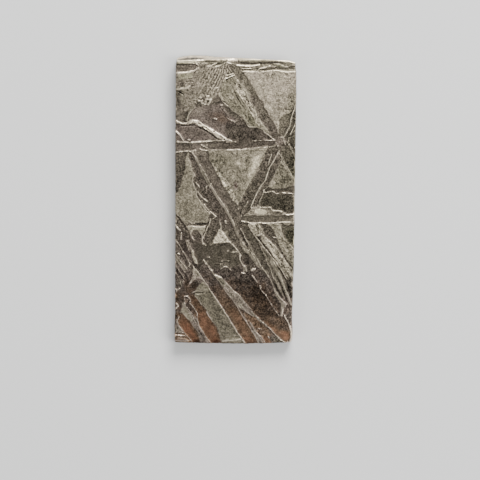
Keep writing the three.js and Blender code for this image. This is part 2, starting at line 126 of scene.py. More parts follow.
# The kamacite plates: broad plates of low-nickel iron, eaten down by the acid to a dark, fine-grained floor.
# Each lies its own way to the light, so each has a brightness of its own; the ones near the bottom edge have
# rusted brown. Each entry is its brightness, its tint (rust above 0, olive below), how softly it fades at its
# edge, how coarsely it is specked, and its outline.
FLOOR_DEPTH = 0.14
FLOOR_BRIGHTNESS = 0.34
FLOOR_TINT = 0.05
FLOOR_GRAIN = 0.8
PLATES = [
    # the upper left, from the top end down to the ragged ribbon
    (0.47, 0, 0.3, 0.7, [(-9.4, 21.4), (-4.6, 21.4), (-5.5, 18), (-6.2, 15.4), (-6.8, 13.4), (-9.4, 13.4)]),
    (0.4, 0.08, 0.12, 0.5, [(-9.4, 20.4), (-5.3, 20.4), (-5.8, 19.8), (-6.6, 19.35), (-9.4, 19.1)]),
    (0.37, -0.15, 0.12, 0.4, [(-5.3, 20.98), (-1.4, 21), (-1.4, 20.2), (-5.3, 20)]),
    (0.5, -0.1, 0.15, 0.6, [(0.2, 20.7), (3, 20.6), (9.4, 20.7), (9.4, 19.3), (3.4, 19.4), (1, 19.4)]),
    (0.42, 0.05, 0.3, 0.4, [(-9.4, 16.3), (-8.2, 16.2), (-7.8, 14), (-7.4, 12.2), (-9.4, 12.2)]),
    (0.44, 0.2, 0.35, 0.6, [(-6.6, 13.9), (-4.1, 14.4), (-2.2, 14.4), (-1, 13), (0.2, 11.8), (0.2, 10),
        (-0.9, 9.1), (-3.2, 10.3), (-5.2, 11.6), (-7, 12)]),
    (0.3, 0.12, 0.5, 0.7, [(-1.4, 11.8), (0.9, 12.2), (1.9, 11), (4.2, 10.7), (5.8, 9.1), (-1.6, 8.9)]),
    (0.42, 0.2, 0.2, 0.4, [(-9.4, 11.6), (-7.6, 11.3), (-6, 11.5), (-4.6, 10.5), (-2.8, 9.3), (-7.4, 8.8),
        (-9.4, 9)]),
    # the long diagonal plate down from the top end, darker towards its lower end
    (0.46, -0.02, 0.2, 0.8, [(-1.2, 21.2), (0.1, 20.7), (1.1, 19.2), (2.1, 17.8), (3.3, 16), (2, 15),
        (0, 18.6)]),
    (0.4, 0.05, 0.3, 0.8, [(2.2, 15.8), (3.5, 15.6), (4.4, 15), (5.1, 13.2), (5.5, 12), (3.4, 11.4),
        (2.9, 13.5)]),
    (0.36, 0.1, 0.4, 0.6, [(3.9, 12), (5.6, 12), (6.7, 10), (7, 8.6), (6, 8.6), (5, 10.2)]),
    # the cross plate and the dark corner at its right end
    (0.34, 0.1, 0.12, 0.4, [(-9.4, 8.7), (-2, 9.1), (6, 9.1), (6.2, 8.7), (4, 8), (-9.4, 7.3)]),
    (0.34, -0.1, 0.3, 0.9, [(6.9, 9), (8.1, 9), (8.6, 7), (8.4, 5), (7.7, 5.1), (6.9, 6.7)]),
    (0.25, -0.35, 0.2, 0.9, [(8.6, 7.6), (9.4, 6.4), (9.4, 2.6), (8.9, 2.9), (8, 4.6), (8.1, 6)]),
    (0.3, -0.1, 0.2, 0.8, [(7.3, 9.6), (7.9, 10.6), (8.3, 11.6), (8.8, 12.8), (9.4, 13.4), (9.4, 6.8),
        (8, 8.6)]),
    (0.36, 0.05, 0.3, 0.9, [(6, 9.6), (7.7, 9.6), (7.7, 8), (6.4, 7.6)]),
    (0.47, -0.05, 0.4, 0.7, [(6.5, 12.4), (6.9, 13.3), (8.3, 13.4), (8.2, 12.4), (7.8, 11.5), (7.3, 10.6),
        (6.7, 10.1), (6.4, 11)]),
    # the plates between the ribs of the middle
    (0.33, 0.12, 0.2, 0.8, [(-7, 7.2), (-6.1, 7.2), (-3.2, 2), (-1, -1.6), (0.2, -4.4), (-1.6, -4.2),
        (-4.4, 0.6), (-6, 3.6)]),
    (0.39, 0.1, 0.25, 0.5, [(-5.9, 7.3), (-4, 7.3), (-0.6, 1.4), (0.4, -1), (-0.4, -2.4), (-2.2, 0.4)]),
    # the block and the narrow plates across the right edge
    (0.29, -0.1, 0.15, 0.6, [(4.1, 1.2), (6.2, 1.1), (9.4, 1.1), (9.4, -1.7), (6.4, -1.3), (4, -0.9),
        (3.6, -0.4)]),
    (0.31, 0, 0.12, 0.4, [(4.4, 1.9), (7.4, 2), (8.5, 2.4), (9.4, 3.2), (9.4, 1.3), (4.6, 1.4)]),
    (0.38, 0, 0.12, 0.3, [(1.2, -2.1), (9.4, -2), (9.4, -3), (1.2, -3)]),
    (0.33, -0.1, 0.15, 0.6, [(7, -3.1), (7.9, -3.9), (8.6, -3.5), (9.4, -3.4), (9.4, -7.2), (8.3, -6.3),
        (7.5, -5.5), (7.25, -4.5)]),
    (0.25, -0.45, 0.25, 0.9, [(7.7, -4.4), (8.3, -3.9), (9.4, -3.8), (9.4, -7.2), (8.4, -6.3),
        (7.7, -5.4)]),
    (0.33, 0.02, 0.3, 0.5, [(0.9, -3.2), (2, -3.4), (6.4, -9.2), (8.2, -14), (6.8, -14.2), (4, -9.6),
        (2.2, -6.6)]),
    # the darkest plate, below the middle
    (0.31, 0.15, 0.3, 0.8, [(-4.4, -9.1), (-3.5, -6.9), (-0.6, -6.6), (0.6, -7.9), (1.1, -9), (2.2, -10.4),
        (3.6, -9.6), (5.3, -11.7), (6.1, -13.7), (7.1, -15.2), (7.3, -16.9), (6.4, -19.4), (4.8, -18.5),
        (2.9, -16.9), (1.1, -14.5), (-0.4, -13), (-1.9, -11.4), (-3.2, -10.7)]),
    (0.27, 0.15, 0.8, 0.8, [(0.6, -11), (3, -11.3), (5, -14.2), (6.9, -17.1), (5.4, -18), (3, -15.8),
        (0.8, -13.4), (-0.8, -11.8)]),
    (0.33, 0, 0.4, 0.1, [(-6, -5.6), (-3.6, -6.8), (-0.6, -6.4), (0.6, -7.8), (1, -9.4), (-1, -10),
        (-3.2, -10), (-5.4, -9.6), (-6.2, -8)]),
    # the rusted plates that run to the bottom edge, darkest where they start
    (0.32, 0.12, 0.3, 0.7, [(-5.2, -9.6), (-4.4, -9.2), (-2.6, -11.6), (-0.2, -15), (0.6, -17.4),
        (-0.6, -17.2), (-2.4, -14.8), (-4.8, -11.4)]),
    (0.36, 0.2, 0.9, 0.7, [(-2.6, -13), (-0.6, -14.4), (0.5, -16.2), (1.6, -18), (0.4, -18), (-1.4, -16)]),
    (0.42, 0.45, 0.9, 0.5, [(-0.6, -16.2), (0.6, -16.8), (1.6, -18), (3.8, -21.6), (1.9, -21.6)]),
    (0.34, 0.35, 0.4, 0.7, [(-6.7, -14.2), (-5.8, -14.1), (-5, -15.4), (-4.2, -16.6), (-4.4, -17.6),
        (-5.6, -17)]),
    (0.41, 0.55, 0.6, 0.4, [(-5.5, -16.8), (-4.4, -16.6), (-3.2, -18.2), (-2.5, -19.4), (-1.9, -21.6),
        (-3.2, -21.6), (-5.2, -18.6)]),
    (0.36, 0.35, 0.4, 0.6, [(-8.4, -16.8), (-7.7, -16.7), (-6.9, -17.5), (-6.2, -18.6), (-6.9, -18.9),
        (-8, -18.4)]),
    (0.41, 0.6, 0.5, 0.3, [(-8.2, -17.8), (-7.3, -17.7), (-6.4, -18.5), (-5.2, -20.6), (-4.9, -21.6),
        (-6.1, -21.6), (-8, -19)]),
    (0.41, 0.25, 0.3, 1, [(1.5, -16.7), (2.8, -17), (4, -17.9), (5.1, -18.8), (5.6, -19.8), (5.5, -21.6),
        (4.9, -21.6), (3.6, -19.6), (2.4, -18)]),
    (0.33, 0.15, 0.4, 0.9, [(5.2, -17.3), (6.6, -17.1), (8, -18.2), (8.6, -19), (7.6, -19.2),
        (6.3, -18.6)]),
    (0.46, 0.5, 0.3, 0.8, [(4.7, -17.8), (5.2, -18), (5.9, -18.6), (6.8, -19.1), (7.6, -19.2), (8.4, -19.4),
        (8.5, -20.3), (7.8, -20.9), (6.6, -20.1), (5.3, -18.8)]),
    (0.5, 0.6, 0.3, 0.5, [(7, -19.5), (8, -19.6), (8.3, -20.2), (7.8, -20.8), (7, -20.2)]),
    (0.39, 0.4, 0.4, 0.7, [(4.4, -19.8), (5.4, -19.8), (5.5, -20.8), (5.6, -21.6), (4.9, -21.6)]),
    (0.31, 0.15, 0.3, 0.3, [(-9.2, -13.7), (-8, -13.2), (-7.3, -12.8), (-7.4, -14.4), (-7.6, -15.6),
        (-8.1, -16.6), (-9.2, -15.4)]),
    (0.33, 0.15, 0.3, 0.4, [(-7.4, -11.9), (-6.8, -11.5), (-6.3, -12.3), (-5.5, -12.1), (-5.6, -13.3),
        (-6.4, -14.1), (-7.4, -14.1)]),
    (0.35, -0.25, 0.25, 1.3, [(5.5, -20.2), (6.3, -20.2), (7.5, -21.3), (5.7, -21.5)]),
    (0.33, 0.05, 0.25, 0.5, [(0.2, -6.2), (0.8, -6.4), (1.2, -7.2), (1.8, -7.9), (2.8, -9.1), (2.4, -9.9),
        (1.7, -9.7), (1.2, -8.9), (0.95, -7.8), (0.3, -7)]),
    # the left edge and the bottom left corner
    (0.4, 0.25, 0.4, 0.6, [(-9.2, -19.6), (-8.1, -19.6), (-7, -20.6), (-6.2, -21.6), (-9.2, -21.6)]),
    (0.3, 0.1, 0.25, 0.4, [(-9.2, -3.6), (-7.6, -4.6), (-6.9, -6.2), (-6.7, -9.2), (-8.2, -6.9),
        (-9.2, -5.4)]),
]

# The plessite fields: fine mixtures of both irons that the acid bites less, left light and granular and just
# below the ribs. Each entry is its brightness, its tint, how coarse its grain stands, the way its grain is
# drawn out in degrees (or None), and its outline.
FIELD_DEPTH = 0.05
FIELDS = [
    # the large field at the top right, and the two light strips left of the long diagonal plate
    (0.63, 0.02, 0.95, None, [(1, 19.38), (2.9, 19.3), (4.5, 19.42), (9.4, 19.38), (9.4, 15.6),
        (8.75, 14.2), (8, 13.2), (7, 13), (6.5, 12.4), (6.4, 11.4), (6.36, 10.4), (6.3, 10.4), (6, 11.4),
        (5.3, 12.4), (4.9, 13.2), (4.3, 14.1), (4.15, 15), (3.55, 15.3), (3.1, 16.1), (2.1, 17.9)]),
    (0.49, -0.2, 0.9, -62, [(-0.9, 19.5), (-0.1, 18.5), (0.6, 17.6), (1.55, 16.4), (2, 15.1), (2.8, 13.8),
        (3.1, 13.1), (3.6, 12.1), (4.3, 11.3), (5.2, 10), (4.3, 10.5), (4.1, 10.75), (3.1, 11.15),
        (2.1, 11.15), (1.6, 11.8), (0.9, 12.7), (0.2, 13.05), (-0.6, 13.7), (-1.6, 14.8), (-2, 15.1),
        (-2.7, 16.1), (-2.1, 17), (-2.1, 17.9), (-1.4, 18.4)]),
    (0.63, -0.05, 2.2, -60, [(0.2, 17.9), (-0.1, 16.75), (0.3, 16.3), (0.8, 15.4), (1.5, 14.4), (2.4, 13),
        (2.9, 12), (3.5, 11.35), (3.95, 11.5), (3.25, 12.65), (2.75, 13.8), (2.15, 14.8), (1.6, 15.7),
        (0.95, 16.7), (0.6, 17.7)]),
    (0.62, -0.1, 0.5, None, [(-1.1, 15.9), (-0.7, 15.95), (-0.3, 15.6), (-0.5, 15.3), (-1, 15.4)]),
    # the comb, and the flat strips at the left end of the top
    (0.48, 0.02, 0.9, None, [(-9.4, 19.1), (-7.5, 19.2), (-6.5, 19.45), (-5.7, 19.95), (-5.2, 20.6),
        (-4.4, 20.6), (-3.7, 20.05), (-3, 20), (-1.3, 20.5), (-0.9, 19.8), (-1.4, 18.4), (-2.1, 17.9),
        (-2.1, 17), (-2.9, 16), (-3.6, 15.1), (-4.1, 14.4), (-5, 14.6), (-6, 14.9), (-6.3, 14.2),
        (-7, 13.2), (-7.7, 13.4), (-7.8, 16.1), (-9.4, 16.4)]),
    (0.58, -0.35, 0.5, None, [(-8.6, 18.95), (-7.4, 19.08), (-6.5, 19.2), (-6.6, 18.35), (-8.6, 18.2)]),
    (0.5, -0.3, 0.3, None, [(-9.4, 20.8), (-6, 20.9), (-5.8, 20.6), (-9.4, 20.48)]),
    (0.49, -0.15, 0.3, None, [(0.2, 21.7), (0.5, 20.86), (3, 20.8), (5.2, 20.82), (6.2, 20.94), (7, 20.75),
        (7.4, 20.4), (9.4, 20.4), (9.4, 21.7)]),
    (0.46, -0.35, 0.2, None, [(5.6, 20.6), (6.6, 20.5), (7.2, 20.2), (6.6, 20.1), (5.8, 20.3)]),
    # the ragged ribbon at the left
    (0.7, 0.03, 2, -35, [(-9.3, 12.1), (-8.5, 11.7), (-8.07, 11.47), (-7.33, 11.63), (-6.93, 11.8),
        (-6.7, 12.03), (-6, 12.03), (-5.55, 11.92), (-5.27, 11.6), (-4.93, 11.33), (-4.27, 11.1),
        (-3.93, 10.85), (-3.4, 10.6), (-3.07, 10.3), (-2.47, 10.02), (-1.5, 9.4), (-0.87, 9.13),
        (-1.73, 9.07), (-2.4, 9.45), (-3.1, 9.8), (-3.6, 10.15), (-4.13, 10.55), (-5, 11.05),
        (-5.67, 11.25), (-5.9, 11.45), (-6.07, 11.6), (-6.93, 11.5), (-8, 11.38), (-9.3, 11.8)]),
    # the central triangle, and the bright patch down its right side
    (0.5, -0.1, 0.9, None, [(-3.95, 7.45), (4.7, 7.95), (4.27, 6.7), (3.4, 5.1), (2.3, 3.1), (1.6, 1.7),
        (1.1, 0.7), (0.87, 0.05), (0.33, -0.3), (-0.47, 0.6), (-0.73, 1.2), (-1.13, 1.7), (-1.67, 2.2),
        (-1.93, 2.9), (-2.8, 4.5), (-3.2, 5.07), (-3.7, 5.9), (-3.9, 6.6)]),
    (0.66, -0.08, 2, None, [(-3.5, 5.7), (-2.8, 4.25), (-2.1, 3.25), (-1.75, 2.4), (-1.4, 1.85),
        (-0.8, 1.05), (-0.35, 0.25), (0.05, -0.2), (0.25, 0.2), (-0.05, 0.95), (-0.5, 1.75), (-0.7, 2.3),
        (-1, 2.9), (-1.35, 3.35), (-1.9, 3.65), (-2.45, 4.35), (-3.15, 5.3)]),
    # the field at the left, with its finger up to the cross plate
    (0.53, -0.1, 0.7, None, [(-7.6, 4), (-7.87, 3.4), (-8, 2.5), (-8.33, 1.9), (-8.6, 1.2), (-9.3, 0.9),
        (-9.3, -1.1), (-8.6, -1.9), (-7.9, -2.8), (-7.2, -3.5), (-6.6, -3.1), (-6, -3.2), (-4.2, -3.2),
        (-3.8, -1.9), (-4.3, -1.2), (-4.9, -0.3), (-5.3, 0.1), (-5.7, 0.8), (-5.9, 1.5), (-6.3, 2.6),
        (-6.4, 2.9), (-6.07, 4), (-6.4, 4.5), (-6.6, 5.4), (-6.93, 6.3), (-7, 7.1), (-7.25, 7.1), (-7.5, 6),
        (-7.4, 5.3)]),
    # the triangle, the bright wedge and the smooth lens at the right
    (0.45, -0.15, 0.9, None, [(6.85, 6.2), (7.6, 5), (8.3, 4), (8.7, 3), (8.4, 2.4), (7.4, 2.05), (5.6, 2),
        (5, 2.15), (5.4, 3), (5.8, 3.9), (6.3, 5)]),
    (0.62, 0.02, 0.7, None, [(5.6, 3.5), (6.05, 2.9), (5.4, 2.2), (5, 2.2), (5.2, 2.8)]),
    (0.5, 0, 1, None, [(1.5, -2.05), (2.4, -1.2), (3.1, -0.85), (4, -0.95), (5.3, -0.9), (5.7, -1.3),
        (5.9, -1.95), (4, -2)]),
    (0.41, 0, 0.6, None, [(5.7, -1.3), (6.9, -1.45), (7.6, -1.75), (7.2, -1.98), (5.7, -1.98)]),
    (0.83, -0.25, 0.4, None, [(3, -1.3), (3.3, -1.15), (3.9, -1.15), (4.5, -1.35), (4.8, -1.6),
        (4.65, -1.85), (3.6, -1.85), (3, -1.6)]),
    # the granular strips that fan out to the right edge
    (0.57, -0.07, 1.7, -50, [(2.1, -3.3), (3.4, -3.35), (3.9, -3.8), (4.2, -4.4), (4.45, -5), (4.9, -5.55),
        (5.5, -6.1), (6.05, -6.6), (6.5, -7.2), (7, -7.9), (7.6, -8.7), (8.1, -9.4), (9.3, -10.9),
        (9.3, -11.9), (7.9, -11.2), (6.9, -9.8), (6.3, -8.9), (5.4, -7.6), (5, -7), (4.55, -6.45),
        (4.05, -5.9), (3.95, -4.95), (3.3, -5.1), (2.6, -4.4)]),
    (0.54, -0.12, 1.2, -50, [(4.8, -3.3), (6.7, -3.3), (6.95, -3.9), (7.15, -5), (7.4, -5.5), (8.1, -6.15),
        (8.7, -6.8), (9.3, -7.2), (9.3, -10.2), (8.15, -9), (7.4, -7.9), (6.8, -6.9), (6.5, -6.1),
        (6.25, -5.3), (6, -4.5), (5.5, -3.8)]),
    (0.46, -0.05, 1.3, -57, [(4, -6.7), (4.6, -7.3), (5.4, -8.3), (6.1, -9.2), (6.3, -10), (5.6, -9.3),
        (5, -9.2), (4.5, -8.2)]),
    (0.49, -0.05, 1.3, -50, [(0.85, -6.1), (1.35, -6.1), (1.6, -6.6), (1.9, -7.1), (2.35, -7.4),
        (2.8, -7.9), (3.2, -8.6), (3.7, -9.3), (3.3, -9.5), (2.8, -8.8), (2.3, -8.2), (1.8, -7.7),
        (1.3, -7.3), (1.05, -6.7)]),
    (0.5, -0.05, 0.8, None, [(7.1, -3.1), (9.3, -3.1), (9.3, -3.3), (8.6, -3.4), (8, -3.6), (7.5, -3.4)]),
    (0.46, -0.1, 1, -62, [(5.3, -8.6), (5.8, -8.9), (6.6, -10.2), (7.2, -11.4), (7.6, -12.7), (8.1, -14),
        (8.5, -15.4), (8, -14.8), (7.45, -13.4), (6.95, -12.2), (6.4, -11.2), (5.85, -10.1)]),
    (0.43, -0.1, 0.9, -65, [(5.9, -11.5), (6.3, -12), (7, -13.2), (7.5, -14.4), (7.3, -14.3),
        (6.7, -13.2)]),
    (0.5, -0.05, 0.8, -50, [(6.1, -13.1), (6.5, -13.9), (7.2, -14.7), (7.9, -15.3), (7.5, -16), (7, -15.2),
        (6.2, -14.1)]),
    # the small light fields left of the middle
    (0.74, -0.08, 1.6, None, [(-2.3, -4.2), (-2.9, -5.3), (-3.2, -5.85), (-3.3, -6.3), (-2.5, -6.25),
        (-0.6, -6.15), (-0.93, -5.8), (-1.33, -5.15), (-1.73, -4.6)]),
    (0.58, -0.15, 0.8, None, [(-7.05, -3.75), (-4.5, -3.85), (-4.5, -4.3), (-4.85, -4.9), (-5.3, -4.5),
        (-5.7, -4.3), (-6.3, -4.4), (-6.5, -4.9)]),
    (0.68, -0.2, 0.8, -70, [(-6.5, -7.2), (-6.2, -7.5), (-6, -8.2), (-5.6, -8.9), (-5.5, -9.5),
        (-5.9, -9.3), (-6.3, -8.2)]),
    (0.46, 0, 0.9, -65, [(-7.3, -5.9), (-6.9, -6), (-6.6, -7.1), (-6.9, -7.4), (-7.1, -6.8)]),
    (0.58, -0.05, 0.8, None, [(-6.2, -9.8), (-5.9, -10.3), (-5.3, -10.9), (-4.6, -11.9), (-5, -11.6),
        (-5.5, -11.5), (-5.9, -11.7), (-6.6, -12.3), (-7, -12.8), (-6.6, -12.1), (-6.2, -11.4),
        (-6.15, -10.6)]),
    # the long strips that run to the bottom edge
    (0.42, -0.38, 0.45, -57, [(-4.7, -12.1), (-5.5, -12.9), (-5.9, -14.1), (-5, -15.1), (-4, -16.5),
        (-3.2, -18), (-2.5, -19), (-2.1, -20), (-1.7, -21.6), (2, -21.6), (0.4, -19.4), (-1.2, -16.8),
        (-2.8, -14.4), (-3.7, -13.1)]),
    (0.5, -0.12, 0.9, -50, [(-2.8, -11.2), (-2, -11.4), (-1.2, -12.2), (0, -13.45), (1.3, -14.8),
        (2.6, -16.4), (3.1, -17), (2.5, -16.9), (1.5, -16.3), (0.6, -15.6), (-0.6, -14.2), (-1.7, -12.8)]),
    (0.44, -0.1, 0.7, -55, [(-7.7, -15.3), (-8, -16.7), (-6.9, -17.3), (-6.2, -18.5), (-5.3, -19.7),
        (-4.9, -21.6), (-3.3, -21.6), (-4.3, -20.1), (-5.2, -18.7), (-5.5, -17.6), (-6.1, -17.2), (-7, -16),
        (-7.3, -15.3)]),
    (0.53, -0.35, 0.2, -55, [(-7.6, -15.8), (-7.3, -15.9), (-6.6, -16.9), (-6.1, -17.7), (-6.4, -18),
        (-7, -17.5), (-7.5, -16.9), (-7.9, -16.6)]),
    (0.43, -0.05, 0.9, -50, [(-9.2, -7.8), (-8.1, -8.95), (-7.1, -10.1), (-7.4, -10.6), (-8.3, -9.4),
        (-9.2, -8.3)]),
    (0.42, -0.1, 1, None, [(-9.2, -17.7), (-8.45, -17.8), (-8.3, -18.6), (-7.7, -19.4), (-7.9, -19.8),
        (-9.2, -19.8)]),
    (0.46, 0.1, 0.7, None, [(-9.2, -20.35), (-7.4, -20.35), (-6.4, -21.3), (-9.2, -21.4)]),
    (0.42, -0.1, 0.7, -60, [(2.2, -17.9), (2.6, -18.2), (3.3, -19.4), (4, -20.3), (4.7, -21.6),
        (3.9, -21.6), (3.2, -20), (2.6, -19)]),
]

